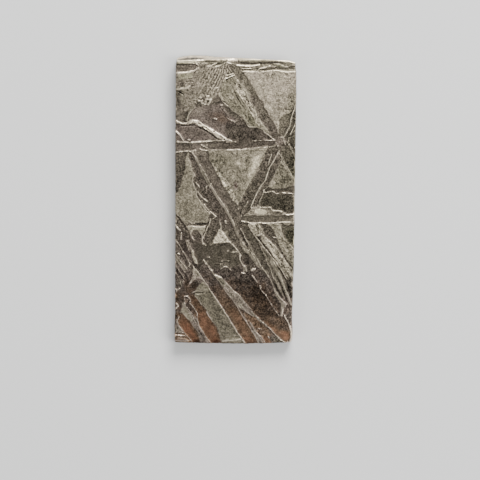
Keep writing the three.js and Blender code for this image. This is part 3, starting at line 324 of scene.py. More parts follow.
# The taenite ribs: thin ribbons of high-nickel iron round the plates. The acid hardly touches them, so they
# stand proud and bright. Each entry is its width, its brightness and the points along it.
RIB_RAMP = 0.06
RIB_DEPTH = 0.02
RIBS = [
    # across the top end
    (0.16, 0.9, [(-4.6, 21.08), (-3, 21.1), (-1.3, 21.16)]),
    (0.13, 0.66, [(-7.6, 20.56), (-7, 20.53), (-5.9, 20.43), (-5.6, 20.22)]),
    (0.2, 1.05, [(-4.35, 20.2), (-3.93, 20.13), (-3.6, 20.33), (-3, 20.6)]),
    (0.22, 1, [(-3.1, 20.1), (-2.7, 20.17), (-2.3, 20.33)]),
    (0.16, 0.74, [(-2.3, 20.33), (-2, 20.47), (-1.2, 20.9)]),
    (0.26, 0.9, [(-1.45, 20.72), (-1, 20.58), (-0.75, 20.5)]),
    (0.24, 1.12, [(-9.3, 19.05), (-7.55, 19.2), (-6.9, 19.3)]),
    (0.22, 1.08, [(-6.9, 19.3), (-6.5, 19.4), (-6.05, 19.65), (-5.7, 19.9)]),
    (0.1, 0.62, [(-7.4, 18.03), (-6.67, 18.07)]),
    (0.2, 0.98, [(-7.8, 16.8), (-7.35, 16.95), (-6.95, 17.25)]),
    (0.24, 0.95, [(-9.3, 16.68), (-8.5, 16.68), (-7.8, 16.8)]),
    (0.26, 1.05, [(0.1, 20.3), (0.6, 20.23), (2.6, 20.25), (3.45, 20.42)]),
    (0.16, 0.84, [(0.7, 19.86), (1.3, 19.84), (2.4, 19.91)]),
    (0.2, 0.88, [(0.9, 19.37), (2.93, 19.32), (3.15, 19.45), (3.25, 19.65), (3.45, 19.76)]),
    (0.19, 0.9, [(3.45, 19.82), (4.1, 19.95), (4.55, 20.1), (4.95, 20.28)]),
    (0.15, 0.66, [(4.95, 20.28), (5.25, 20.12), (5.6, 20.1), (6.1, 20.2)]),
    (0.2, 0.88, [(3.7, 19.32), (4.4, 19.42), (5.5, 19.54), (6.2, 19.54), (7, 19.42), (8.27, 19.43),
        (9.3, 19.4)]),
    (0.22, 0.8, [(7.3, 20.1), (7.93, 20.33), (9.3, 20.42)]),
    # the comb: its bright tick, and the beads along its lower edge
    (0.2, 1.2, [(-1.6, 18.32), (-0.95, 18.6), (-0.3, 18.88)]),
    (0.16, 1.1, [(-1.4, 18.74), (-0.95, 18.93), (-0.5, 19.12)]),
    (0.2, 0.62, [(-3.1, 16.1), (-2.75, 16.5), (-2.8, 16.95), (-2.35, 17.05), (-2.2, 17.6), (-1.6, 17.9)]),
    (0.15, 0.78, [(-6.1, 15.12), (-5.85, 15.22)]),
    (0.2, 1.1, [(-5.52, 15.38), (-5.28, 15.36)]),
    (0.15, 0.76, [(-6.05, 14.76), (-5.93, 14.62)]),
    (0.2, 1.1, [(-5.57, 14.98), (-5.42, 14.92)]),
    (0.22, 1.1, [(-5.13, 14.66), (-4.95, 14.58)]),
    (0.2, 1.1, [(-4.68, 14.46), (-4.54, 14.44)]),
    (0.17, 1, [(-4.22, 14.42), (-4.1, 14.42)]),
    (0.17, 1.12, [(-4.5, 15.22), (-4, 15.17), (-3.72, 15.2)]),
    (0.18, 1.1, [(-4.42, 15.74), (-4.25, 15.66), (-4.05, 15.72)]),
    (0.22, 1.05, [(-2.97, 16.02), (-2.85, 16.05)]),
    (0.22, 1.05, [(-2.55, 16.05), (-2.42, 16.2)]),
    (0.18, 0.85, [(-3.1, 16.85), (-2.8, 17)]),
    (0.18, 0.72, [(-2.35, 14.3), (-2.05, 14.36)]),
    (0.34, 0.54, [(-6.2, 14.1), (-6.8, 13.4), (-7, 13), (-7.4, 12.1)]),
    (0.14, 0.66, [(-6.3, 14.25), (-6.85, 13.5)]),
    (0.12, 0.64, [(-1.7, 17.2), (-0.9, 17.8)]),
    (0.11, 0.64, [(-1.5, 16.55), (-0.75, 17.55)]),
    (0.11, 0.62, [(-1.15, 15.9), (-0.95, 16.5), (-0.5, 17.5)]),
    (0.11, 0.62, [(-0.75, 15.8), (-0.6, 16.5), (-0.25, 17.4)]),
    # between the comb and the long diagonal plate
    (0.15, 0.62, [(-2.6, 15.9), (-2.15, 15.15), (-1.54, 14.4), (-0.64, 13.72), (0.2, 13.1), (0.93, 12.6),
        (1.33, 12.15), (1.6, 11.7), (1.87, 11.2), (2.1, 11.07)]),
    (0.18, 0.78, [(2.1, 11.07), (3.13, 11.13), (3.6, 10.97), (4.13, 10.73), (4.4, 10.33), (4.93, 9.93)]),
    (0.22, 0.68, [(4.93, 9.93), (5.6, 9.35), (5.95, 9.08)]),
    (0.12, 0.44, [(-2.1, 13.9), (-1.5, 13.2), (-1, 12.47)]),
    (0.14, 0.6, [(-1.25, 12.4), (-0.85, 12.05), (-0.27, 11.87)]),
    (0.12, 0.5, [(-0.27, 11.87), (0.1, 11.83), (0.87, 12.2)]),
    (0.14, 0.68, [(0.45, 15.5), (1.2, 14.2)]),
    (0.2, 0.7, [(0.15, 17.9), (0.35, 17.5)]),
    (0.15, 0.62, [(-1.05, 19.9), (-0.35, 18.95), (0.15, 18.15)]),
    (0.12, 0.54, [(0.3, 18.1), (0.75, 17.3), (1.3, 16.3), (2, 15)]),
    (0.3, 0.7, [(2.1, 14.3), (2.55, 13.6), (3.05, 12.75), (3.4, 12.1), (3.8, 11.5)]),
    (0.34, 0.85, [(2.3, 14), (2.5, 13.75)]),
    (0.34, 0.85, [(2.95, 12.95), (3.1, 12.7)]),
    (0.15, 0.7, [(-3.45, 12.33), (-2.85, 12.25)]),
    # the ragged ribbon's crest, and the short ribs below it
    (0.16, 0.74, [(-9.3, 12.2), (-8.9, 12), (-8.5, 11.68)]),
    (0.2, 0.88, [(-8.5, 11.68), (-8.07, 11.5), (-7.33, 11.65), (-6.7, 12), (-5.9, 12), (-5.3, 11.66)]),
    (0.17, 0.96, [(-5.3, 11.66), (-4.93, 11.33), (-4.27, 11.05), (-3.4, 10.55), (-2.47, 9.98),
        (-1.5, 9.38)]),
    (0.13, 0.88, [(-5.6, 11.28), (-4.6, 10.85), (-3.5, 10.12), (-2.53, 9.5)]),
    (0.26, 0.95, [(-8.9, 10.38), (-8.35, 9.95)]),
    (0.2, 0.84, [(-8.35, 9.95), (-8, 9.4), (-7.8, 9)]),
    (0.2, 0.7, [(-7.2, 9.1), (-6.9, 9.12)]),
    # the cross plate's edges
    (0.4, 0.56, [(-6.9, 8.62), (-6, 8.68), (-4.4, 8.76)]),
    (0.22, 0.84, [(-6.6, 8.7), (-6, 8.78), (-5, 8.87), (-3.6, 8.97)]),
    (0.2, 0.66, [(-3.6, 8.97), (-2, 9.05), (-1.3, 9.05)]),
    (0.2, 0.8, [(-1.3, 9.05), (-0.6, 9)]),
    (0.3, 0.5, [(-8.9, 8.75), (-7.9, 8.7), (-6.9, 8.65)]),
    (0.12, 0.6, [(-1.4, 8.83), (0, 8.83)]),
    (0.12, 0.56, [(2.4, 9), (4, 9.12)]),
    (0.13, 0.58, [(4, 9.12), (5.3, 9.15), (6, 9.03)]),
    (0.17, 0.72, [(-9.3, 7.2), (-8.5, 7.3), (-7.3, 7.43), (-6.67, 7.37), (-6, 7.55)]),
    (0.15, 0.64, [(-4.9, 7.62), (-4.5, 7.53), (-3, 7.6)]),
    (0.17, 0.72, [(-3, 7.6), (1, 7.73), (3, 7.97), (4.7, 8.1)]),
    (0.17, 0.66, [(4.7, 8.1), (5.5, 8.2), (6.02, 8.55), (6.02, 8.8)]),
    (0.13, 0.58, [(-5.1, 8.4), (-4.75, 8.15), (-4.25, 7.95)]),
    (0.15, 0.6, [(-5, 8), (-4.65, 8.15), (-4.3, 8.35)]),
    (0.15, 0.68, [(-5.35, 7.85), (-5.1, 7.62), (-4.9, 7.62)]),
    (0.13, 0.56, [(-8.35, 7.3), (-8.3, 6.6), (-8.35, 6)]),
    # the long rib from the cross plate down past the middle
    (0.26, 0.66, [(-6.45, 7.3), (-5.8, 6.15)]),
    (0.44, 0.57, [(-5.95, 6.4), (-5.3, 5.2), (-4.85, 4.35)]),
    (0.22, 0.6, [(-5.4, 5.3), (-5.05, 4.4), (-4.45, 3.28), (-3.75, 2.1)]),
    (0.4, 0.48, [(-4.95, 4.5), (-4.35, 3.4), (-3.85, 2.5)]),
    (0.2, 0.6, [(-5.2, 5.3), (-4.7, 4.5), (-4.15, 3.4), (-3.7, 2.6)]),
    (0.2, 0.66, [(-4.35, 2.1), (-3.95, 2.4), (-3.5, 2.6)]),
    (0.46, 0.57, [(-3.8, 2.45), (-2.4, 0.27), (-1.6, -0.87), (-0.53, -2.67), (-0.1, -3.6)]),
    (0.16, 0.7, [(-3.7, 2.5), (-2.3, 0.35), (-1.5, -0.8), (-0.45, -2.6), (0, -3.5)]),
    (0.4, 0.47, [(-0.1, -3.6), (0.45, -5), (1, -6), (1.45, -6.8)]),
    (0.22, 0.72, [(2.05, -7.4), (2.2, -7.5)]),
    (0.17, 0.66, [(1.95, -6.5), (2.5, -7.6), (3.1, -8.75), (3.95, -10)]),
    (0.16, 0.52, [(1.6, -7.45), (2.3, -8.15), (2.8, -8.75), (3.4, -9.5), (4, -10.2)]),
    (0.36, 0.54, [(3.2, -8.7), (3.7, -9.4), (4.2, -10.1)]),
    (0.14, 0.62, [(-4.3, 2), (-4.25, 1.35)]),
    (0.12, 0.62, [(-4.65, 4.05), (-4.1, 3.45)]),
    (0.16, 0.68, [(-6.5, 3), (-5.87, 1.53), (-5.6, 0.55), (-4.92, -0.6), (-4.2, -1.5), (-3.8, -1.8)]),
    (0.26, 0.6, [(-5.55, 1.3), (-4.75, 0.35), (-4.1, -0.15)]),
    (0.17, 0.74, [(-5.85, 2.7), (-5.35, 2.05)]),
    (0.17, 0.7, [(-6.7, 4.6), (-6.3, 4.2), (-6.02, 3.7)]),
    (0.14, 0.6, [(-5, -3.05), (-4.35, -2.6), (-4.1, -2)]),
    (0.17, 0.7, [(-4.65, -0.55), (-4, -1.3), (-3.4, -1.8), (-2.8, -2.35), (-3.3, -2.62)]),
    # the central triangle's sides
    (0.3, 0.76, [(0.2, 0.1), (0.4, -0.45)]),
    (0.17, 0.66, [(0.4, -0.45), (0.5, -1.2)]),
    (0.1, 0.6, [(1.75, 7.2), (1.9, 7.1)]),
    (0.28, 0.68, [(6.5, 7.6), (6.1, 6.85), (5.6, 5.95), (4.95, 4.85)]),
    (0.14, 0.6, [(6.3, 8.3), (6.45, 7.7)]),
    (0.28, 0.64, [(5, 4.85), (4.75, 4.2), (4.5, 3.25), (3.85, 2.4), (3.2, 1.2), (2.32, -0.75)]),
    (0.16, 0.7, [(5.35, 6.95), (5.05, 6.2), (4.85, 5.4)]),
    (0.14, 0.6, [(1.9, -0.05), (1.1, -1.25), (0.95, -2.3)]),
    (0.16, 0.66, [(6.8, 6), (6.27, 4.93), (5.67, 3.53), (5.25, 2.6), (5, 2.27), (4.3, 1.8), (4.13, 1.07),
        (3.6, 0), (3.55, -0.5), (3.75, -0.9)]),
    (0.17, 0.62, [(6.5, 7.5), (6.95, 6.6), (7.25, 5.8), (7.8, 5.1)]),
    (0.16, 0.7, [(7.8, 5.1), (8.2, 4.4), (8.55, 3.7), (9.2, 2.5)]),
    (0.16, 0.8, [(4.25, 1.85), (4.3, 1.45), (4.55, 1.3), (5.6, 1.5), (6.2, 1.2)]),
    (0.13, 0.6, [(6.2, 1.2), (7.2, 1.28), (8.3, 1.27), (9.3, 1)]),
    (0.15, 0.8, [(7.1, 1.3), (7.4, 1.32)]),
    (0.15, 0.72, [(2.4, -1), (3.07, -0.85), (3.33, -0.67), (3.8, -0.9), (5.33, -0.85), (5.6, -1.3),
        (7, -1.45)]),
    (0.1, 0.45, [(8.25, -0.25), (8.6, 0.3)]),
    (0.16, 0.7, [(1.4, -2.13), (2.47, -2), (6, -2.03), (7, -2), (7.45, -1.82)]),
    (0.22, 0.95, [(7.4, -1.82), (8, -1.93), (9.3, -1.8)]),
    (0.18, 0.76, [(1, -2.93), (2, -3.13), (2.3, -3.25), (4, -3.2), (4.93, -3.27), (7, -3.07),
        (9.3, -3.05)]),
    # round the crossing at the right
    (0.46, 0.56, [(7.1, 9.75), (7.5, 10.3), (7.9, 11), (8.05, 11.5)]),
    (0.3, 0.66, [(8.1, 11.6), (8.3, 12.6), (8.73, 13.87), (9.2, 15.3)]),
    (0.34, 0.86, [(6.78, 9.62), (7.05, 9.72)]),
    (0.24, 0.72, [(7.1, 9.6), (7.25, 9.2), (7.46, 8.55)]),
    (0.2, 0.76, [(8.15, 10.1), (8.55, 10.9), (8.85, 11.6), (9.2, 12.6)]),
    (0.18, 0.7, [(7.95, 9.6), (7.8, 9.1), (7.7, 8.8)]),
    (0.34, 0.52, [(7.95, 8.5), (8.35, 7.8), (8.7, 7.1)]),
    (0.12, 0.56, [(8.7, 7.1), (9.2, 6)]),
    # the two short ribs on the right rim here stand proud, and their brightness is a painted highlight of the
    # rim
    (0.22, 0.8, [(8.85, 5.9), (8.9, 5.4)]),
    (0.2, 0.95, [(8.85, 8.1), (9, 8.05)]),
    (0.13, 0.6, [(6.33, 10.9), (6.33, 10.1)]),
    # below the field at the left
    (0.22, 0.76, [(-9.2, -1.1), (-8.27, -2.4)]),
    (0.14, 0.52, [(-8.27, -2.4), (-7.53, -3.33), (-6.93, -4.2)]),
    (0.17, 0.68, [(-6.93, -4.2), (-6.4, -5.33), (-6.05, -5.85)]),
    (0.13, 0.7, [(-6.7, -3.1), (-6.5, -3.33), (-6.1, -3.33)]),
    (0.2, 0.86, [(-6.45, -3.88), (-5.6, -3.95), (-4.8, -3.88), (-4.45, -3.7)]),
    (0.18, 0.68, [(-3.6, -2.67), (-3.93, -3.6), (-4.4, -4.73), (-4.87, -5.75)]),
    (0.17, 0.66, [(-5.4, -4.4), (-4.85, -5.05), (-4.85, -5.65), (-4.8, -6.2), (-4.3, -6.65)]),
    (0.28, 0.7, [(-4.75, -6.35), (-4.55, -6.5)]),
    (0.17, 0.66, [(-2.35, -2.75), (-2.2, -3.3), (-2.05, -4), (-2.15, -4.4)]),
    (0.28, 0.64, [(-1.45, -3), (-1.3, -3.25)]),
    (0.24, 0.5, [(-4.1, -8.5), (-3.8, -8.4)]),
    (0.17, 0.74, [(-3.65, -6.65), (-3.3, -6.4), (-2.8, -6.25)]),
    (0.16, 0.76, [(-2.8, -6.25), (-0.55, -6.15)]),
    (0.19, 0.7, [(-0.55, -6.2), (0.35, -7.2), (0.75, -7.8), (0.8, -8.55), (1.1, -9.2), (1.45, -9.8)]),
    (0.3, 0.76, [(0.8, -7.9), (0.92, -8.05)]),
    (0.16, 0.72, [(-0.5, -7.68), (0.35, -7.6)]),
    (0.16, 0.66, [(-1, -7.47), (-0.94, -7.47)]),
    (0.17, 0.72, [(-2.05, -10.15), (-1.67, -9.87), (-1.3, -9.8), (-1.05, -9.87)]),
    (0.1, 0.52, [(-0.9, -10.02), (-0.3, -10.35)]),
    (0.66, 0.58, [(1.5, -9.85), (1.7, -10.3)]),
    (0.22, 0.74, [(1.1, -10.7), (1.6, -10.78)]),
    (0.5, 0.76, [(2.65, -10.25), (3, -10.05)]),
    (0.1, 0.42, [(-2.9, -9.4), (-1.9, -9.45)]),
    (0.1, 0.42, [(-2.2, -9), (-0.8, -8.9)]),
    # the fan of short ribs at the left edge
    (0.28, 0.78, [(-9.1, -3.25), (-8.73, -3.8), (-8.15, -4.45)]),
    (0.24, 0.6, [(-7.95, -4.8), (-8.05, -5.75)]),
    (0.15, 0.66, [(-9.2, -5.3), (-8.2, -6.73), (-7.2, -8.27), (-6.6, -9.4), (-6.85, -9.8)]),
    (0.13, 0.62, [(-8.9, -7.9), (-7.87, -9.2), (-7.1, -10.15)]),
    (0.13, 0.62, [(-9.1, -8.2), (-8, -9.67), (-7.45, -10.65)]),
    (0.13, 0.58, [(-9.1, -9.2), (-8.47, -10.07), (-7.5, -11.6)]),
    (0.14, 0.6, [(-9.2, -10.3), (-8.6, -11), (-8.27, -11.53), (-8.07, -12), (-7.9, -12.75)]),
    (0.26, 0.66, [(-8.25, -12.3), (-8.1, -12.2)]),
    (0.14, 0.56, [(-7.8, -12.2), (-7.6, -11.9)]),
    (0.17, 0.66, [(-9.1, -12.9), (-8.55, -13.35), (-8.15, -13.1)]),
    (0.13, 0.6, [(-8.55, -13.35), (-8.62, -13.65)]),
    (0.26, 0.86, [(-8.45, -7.88), (-8.27, -7.93)]),
    (0.3, 0.76, [(-8.6, -15.35), (-8.3, -15.7), (-8.75, -16.2)]),
    # the ribs that cross the granular strips and meet towards the right edge
    (0.2, 0.7, [(2.05, -3.5), (2.27, -4.07), (3.07, -5.17), (3.93, -6.2), (4.45, -6.85), (5.05, -7.6)]),
    (0.17, 0.64, [(5.05, -7.6), (5.9, -8.65), (6.45, -9.3)]),
    (0.18, 0.72, [(6.2, -9), (6.9, -10), (7.4, -10.85), (7.85, -11.55)]),
    (0.12, 0.58, [(3.6, -6.2), (3.87, -6.8), (4.15, -7.35)]),
    (0.34, 0.46, [(4.5, -7.2), (5, -7.9), (5.5, -8.7)]),
    (0.2, 0.8, [(3.25, -5.1), (3.6, -5.05), (3.95, -4.88)]),
    (0.3, 0.84, [(4.5, -5.65), (4.65, -5.8)]),
    (0.24, 0.74, [(5.3, -6), (5.5, -6.2)]),
    (0.3, 0.78, [(6.7, -8.1), (7.1, -8.45)]),
    (0.26, 0.86, [(6.3, -9.15), (6.42, -9.28)]),
    (0.24, 0.54, [(5.8, -5.35), (6.2, -5.45)]),
    (0.16, 0.68, [(0.9, -4.1), (1.47, -5.13), (2.2, -6.6), (2.93, -7.87), (4.13, -9.8), (4.75, -10.6),
        (5.3, -11.45), (5.75, -12.4), (6, -13.1), (6.25, -13.7), (6.85, -14.4), (7.9, -15.35)]),
    (0.16, 0.66, [(4.9, -9.2), (5.3, -9.8), (5.6, -10.6), (5.95, -11.5)]),
    (0.13, 0.5, [(5.95, -11.5), (6.5, -12.4), (7.1, -13.6), (7.7, -14.8)]),
    (0.36, 0.7, [(5.5, -9.1), (6.05, -10), (6.65, -10.95), (7, -11.6)]),
    (0.26, 0.7, [(7.05, -11.6), (7.4, -12.6), (7.9, -13.6), (8.3, -14.6), (8.5, -15.3)]),
    (0.6, 0.66, [(7.3, -15.3), (7.2, -16.1), (7.12, -16.9)]),
    (0.2, 0.84, [(7.6, -17), (8.13, -18), (8.45, -18.7)]),
    (0.3, 0.88, [(8.5, -18.6), (8.6, -19.3), (8.62, -20), (8.45, -20.9)]),
    (0.22, 0.72, [(2.68, -11.07), (3.07, -11.5), (3.45, -12.05)]),
    (0.17, 0.74, [(3.9, -12.9), (4.13, -13.3), (4.8, -14)]),
    (0.15, 0.66, [(4.8, -14), (5.2, -14.75), (6, -16.07), (6.75, -17.05)]),
    (0.36, 0.46, [(3.8, -12.6), (3.95, -12.8)]),
    (0.12, 0.52, [(5, -8), (5.6, -8.9), (6.2, -10)]),
    # the long ribs to the bottom edge
    (0.22, 0.58, [(-4.65, -8.85), (-4.2, -9.3), (-3.45, -10.3), (-2.9, -11.1)]),
    (0.3, 0.84, [(-4.25, -9.3), (-4.15, -9.42)]),
    (0.2, 0.74, [(-3.85, -9.78), (-3.75, -9.88)]),
    (0.26, 0.84, [(-3.4, -10.35), (-3.3, -10.45)]),
    (0.22, 0.74, [(-2.9, -11.1), (-2.5, -11.2), (-2, -11.4)]),
    (0.22, 0.54, [(-2, -11.4), (-0.8, -12.67), (0, -13.45)]),
    (0.15, 0.66, [(-1.4, -12.1), (-0.8, -12.67), (0, -13.45), (0.93, -14.27)]),
    (0.22, 0.6, [(0.2, -13.6), (0.93, -14.27), (1.6, -15.1)]),
    (0.16, 0.54, [(1.6, -15.1), (2.5, -16.1), (3.07, -16.93), (4, -17.8), (4.53, -18.33), (5.3, -18.9)]),
    (0.4, 0.52, [(2.6, -16.5), (3.1, -17), (4, -17.85), (4.9, -18.6)]),
    (0.14, 0.72, [(5.3, -18.9), (5.9, -19.5), (6.8, -20.47), (7.8, -21.13), (8.1, -20.8)]),
    (0.15, 0.6, [(-2.75, -11.25), (-2, -12.2), (-1.2, -13.5), (-0.6, -14.3), (0, -15), (0.5, -15.7)]),
    (0.15, 0.66, [(0.5, -15.7), (0.9, -16.4), (1.35, -17.2), (2.27, -18.67), (3.2, -20), (3.8, -21.3)]),
    (0.17, 0.72, [(1.3, -15.8), (1.9, -16.5), (2.6, -16.95), (3.1, -17.15)]),
    (0.22, 0.78, [(2.75, -17.05), (3, -17.15)]),
    (0.13, 0.6, [(1.47, -16.7), (1.6, -17.27), (1.95, -17.9)]),
    (0.17, 0.7, [(2.4, -18.2), (3.05, -19.2), (3.5, -19.7), (4.1, -20.2), (4.6, -20.85), (5, -21.6)]),
    (0.16, 0.5, [(3.2, -19.4), (3.6, -19), (4.1, -19.1)]),
    (0.36, 0.46, [(5.15, -20.2), (5.3, -20.35)]),
    (0.17, 0.72, [(-6.15, -9.85), (-5.33, -10.8), (-4.53, -11.87), (-3.4, -13.53), (-2.4, -14.93),
        (-0.87, -17.33), (0.47, -19.47), (2.05, -21.6)]),
    (0.14, 0.64, [(-5.9, -14), (-5.07, -15.07), (-4.8, -15.5)]),
    (0.15, 0.64, [(-4.1, -16.55), (-3.73, -17.27), (-3.1, -18.05)]),
    (0.1, 0.52, [(-3.1, -18.05), (-2.27, -19), (-1.93, -20), (-1.5, -21)]),
    (0.15, 0.62, [(-7.45, -16), (-7.45, -14.25), (-6.93, -14.27), (-6.5, -14.7), (-6.6, -15.2),
        (-6.07, -15.87), (-5.5, -16.75), (-5.47, -17.67), (-5.2, -18.67), (-4.27, -20.07), (-3.1, -21.6)]),
    (0.14, 0.62, [(-6.95, -15.95), (-6.3, -16.8), (-5.95, -17.7), (-5.7, -18.1)]),
    (0.16, 0.62, [(-8.15, -17.3), (-8.4, -17.93), (-8.2, -18.67), (-7.53, -19.53)]),
    (0.14, 0.5, [(-7.53, -19.53), (-6.33, -20.87), (-6, -21.5)]),
    (0.14, 0.58, [(-8.9, -19.6), (-8, -19.62), (-7.4, -19.8)]),
    (0.2, 0.7, [(-6.3, -13.75), (-5.9, -13.6), (-5.5, -13.42), (-4.9, -13.5), (-4.5, -13.38), (-4, -13.3)]),
    (0.16, 0.62, [(-5.9, -14), (-5.3, -13.97), (-4.7, -13.95), (-4.3, -13.62), (-4, -13.5)]),
    (0.14, 0.6, [(-5.6, -13.15), (-5.1, -13.1), (-4.6, -13.3)]),
    (0.22, 0.84, [(-8.8, -20.1), (-7.9, -20.12)]),
    (0.14, 0.56, [(-7.9, -20.12), (-7.3, -20.15)]),
    (0.12, 0.66, [(-8.8, -20.87), (-6.4, -20.87)]),
    (0.22, 0.88, [(-1.6, -20.85), (0, -20.75), (1, -20.62)]),
    (0.14, 0.56, [(-1.7, -20.3), (-0.4, -20.2), (0.6, -20)]),
    (0.16, 0.5, [(-2.3, -19.6), (-1.5, -19.5), (-0.6, -19.7)]),
    (0.24, 0.6, [(-1.75, -18.7), (-1.6, -18.85)]),
    (0.2, 0.6, [(-2.1, -16.75), (-1.95, -16.9)]),
]

# The grooves that the acid opened along grain boundaries, and the pits it left in the ragged ribbon; each is
# cut down and also darkened with painted shade. Each entry is its width, how much deeper it goes, and the
# points along it.
GROOVES = [
    (0.17, 0.08, [(-9.2, 20.3), (-8, 20.3)]),
    (0.12, 0.03, [(-8, 20.3), (-7, 20.38), (-6, 20.28), (-5.4, 20.15)]),
    (0.17, 0.08, [(-4.6, 20.9), (-3, 20.92), (-2.3, 20.96)]),
    (0.14, 0.04, [(-2.3, 20.96), (-0.7, 21)]),
    (0.17, 0.09, [(-3.2, 20.42), (-2.4, 20.6)]),
    (0.16, 0.06, [(-7.5, 17.85), (-6.5, 17.85)]),
    (0.17, 0.06, [(-9.2, 16.37), (-8.6, 16.3), (-8.1, 16.1), (-7.9, 15.9)]),
    (0.14, 0.08, [(-1.25, 19.85), (-0.8, 19.3)]),
    (0.17, 0.1, [(-5.6, 15.22), (-4.9, 15.17)]),
    (0.14, 0.06, [(-5.5, 14.7), (-5.25, 14.6)]),
    (0.14, 0.06, [(-4.85, 14.4), (-4.4, 14.25)]),
    (0.17, 0.07, [(-0.3, 16.45), (0.1, 15.6), (0.95, 14.2)]),
    (0.15, 0.02, [(0.2, 20.6), (2.6, 20.6), (3.2, 20.68), (4, 20.58), (5, 20.66), (5.6, 20.75),
        (6.2, 20.86)]),
    (0.15, 0.07, [(0.9, 19.62), (2, 19.68), (3, 19.8), (3.4, 19.72)]),
    (0.17, 0.07, [(0.8, 20.03), (3, 20.12)]),
    (0.16, 0.06, [(6.5, 19.85), (7.1, 19.8), (7.8, 19.9)]),
    (0.18, 0.08, [(3.45, 19.66), (4, 19.68), (4.67, 19.72), (5.1, 19.75), (5.5, 19.85), (6.1, 19.97)]),
    (0.18, 0.06, [(7.8, 20.1), (9.2, 20.12)]),
    (0.18, 0.05, [(8, 19.9), (9.2, 19.85)]),
    (0.15, 0.05, [(7.4, 13.73), (8.1, 13.7)]),
    (0.2, 0.06, [(-8.1, 11.2), (-7, 11.28), (-6.1, 11.3)]),
    (0.2, 0.08, [(-8.6, -2.4), (-7.7, -3.6), (-7.2, -4.4)]),
    (0.2, 0.02, [(3.6, -5.5), (4.35, -6.35), (5.15, -7.35), (5.9, -8.4), (6.6, -9.3)]),
    (0.17, 0.06, [(6.55, -9.9), (7.1, -10.75), (7.7, -11.6)]),
    (0.2, 0.09, [(6.5, -11.3), (7, -12.5), (7.5, -13.8), (7.95, -14.9)]),
    (0.3, 0.06, [(6.1, -12.4), (6.6, -13.3), (7.1, -14.2)]),
    (0.18, 0.06, [(7.2, -7.6), (7.6, -8.3), (8, -9)]),
    (0.16, 0.07, [(7.95, -15.4), (8.3, -16.1)]),
    (0.17, 0.08, [(8, -3.68), (8.5, -3.42)]),
    (0.14, 0.06, [(8.2, 8.75), (8.9, 7.6)]),
    (0.2, 0.05, [(-5.6, 11), (-4.2, 10.35), (-2.9, 9.45)]),
    (0.13, 0.01, [(-6.1, -3.45), (-5, -3.45), (-4.3, -3.3)]),
    (0.15, 0.04, [(-5.85, 1.4), (-5.25, 0.15), (-4.75, -0.65), (-4.2, -1.3), (-3.95, -1.7)]),
    (0.16, 0.05, [(-7.05, -15.6), (-6.3, -16.85), (-5.6, -18.1)]),
    (0.16, 0.05, [(-5.6, -19), (-4.7, -20.2)]),
    (0.2, 0.04, [(1.1, -5), (1.8, -6.4), (2.4, -7.2), (3, -8.1)]),
    (0.16, 0.08, [(-5.7, -13.75), (-4.7, -13.7)]),
    (0.22, 0.01, [(3.4, -5.3), (3.8, -5.45)]),
    (0.16, 0.06, [(-9, -20.42), (-7.3, -20.42)]),
    (0.2, 0.06, [(7.8, -11.9), (8.2, -13.2), (8.55, -14.3)]),
]
PITS = [
    (0.13, 0.07, [(-1.38, 18.53), (-0.9, 18.75), (-0.4, 18.94)]),
    (0.13, 0.07, [(-1.42, 18.93), (-0.95, 19.1), (-0.5, 19.27)]),
    (0.12, 0.05, [(-1.5, 18.15), (-0.9, 18.42), (-0.3, 18.68)]),
    (0.17, 0.14, [(-5.5, 11.55), (-5.35, 11.5)]),
    (0.15, 0.12, [(-5.05, 11.05), (-4.9, 11)]),
    (0.18, 0.14, [(-4.55, 11.02), (-4.4, 10.93)]),
    (0.14, 0.1, [(-4.15, 10.7), (-4.05, 10.6)]),
    (0.17, 0.14, [(-3.3, 10.42), (-3.2, 10.35)]),
    (0.13, 0.08, [(-3.5, 10.05), (-3.3, 9.95)]),
    (0.13, 0.08, [(-2.3, 9.72), (-2.15, 9.6)]),
    (0.15, 0.12, [(-1.8, 9.25), (-1.68, 9.2)]),
    (0.13, 0.1, [(-8.95, 16.38), (-8.5, 16.34), (-8.05, 16.05)]),
]

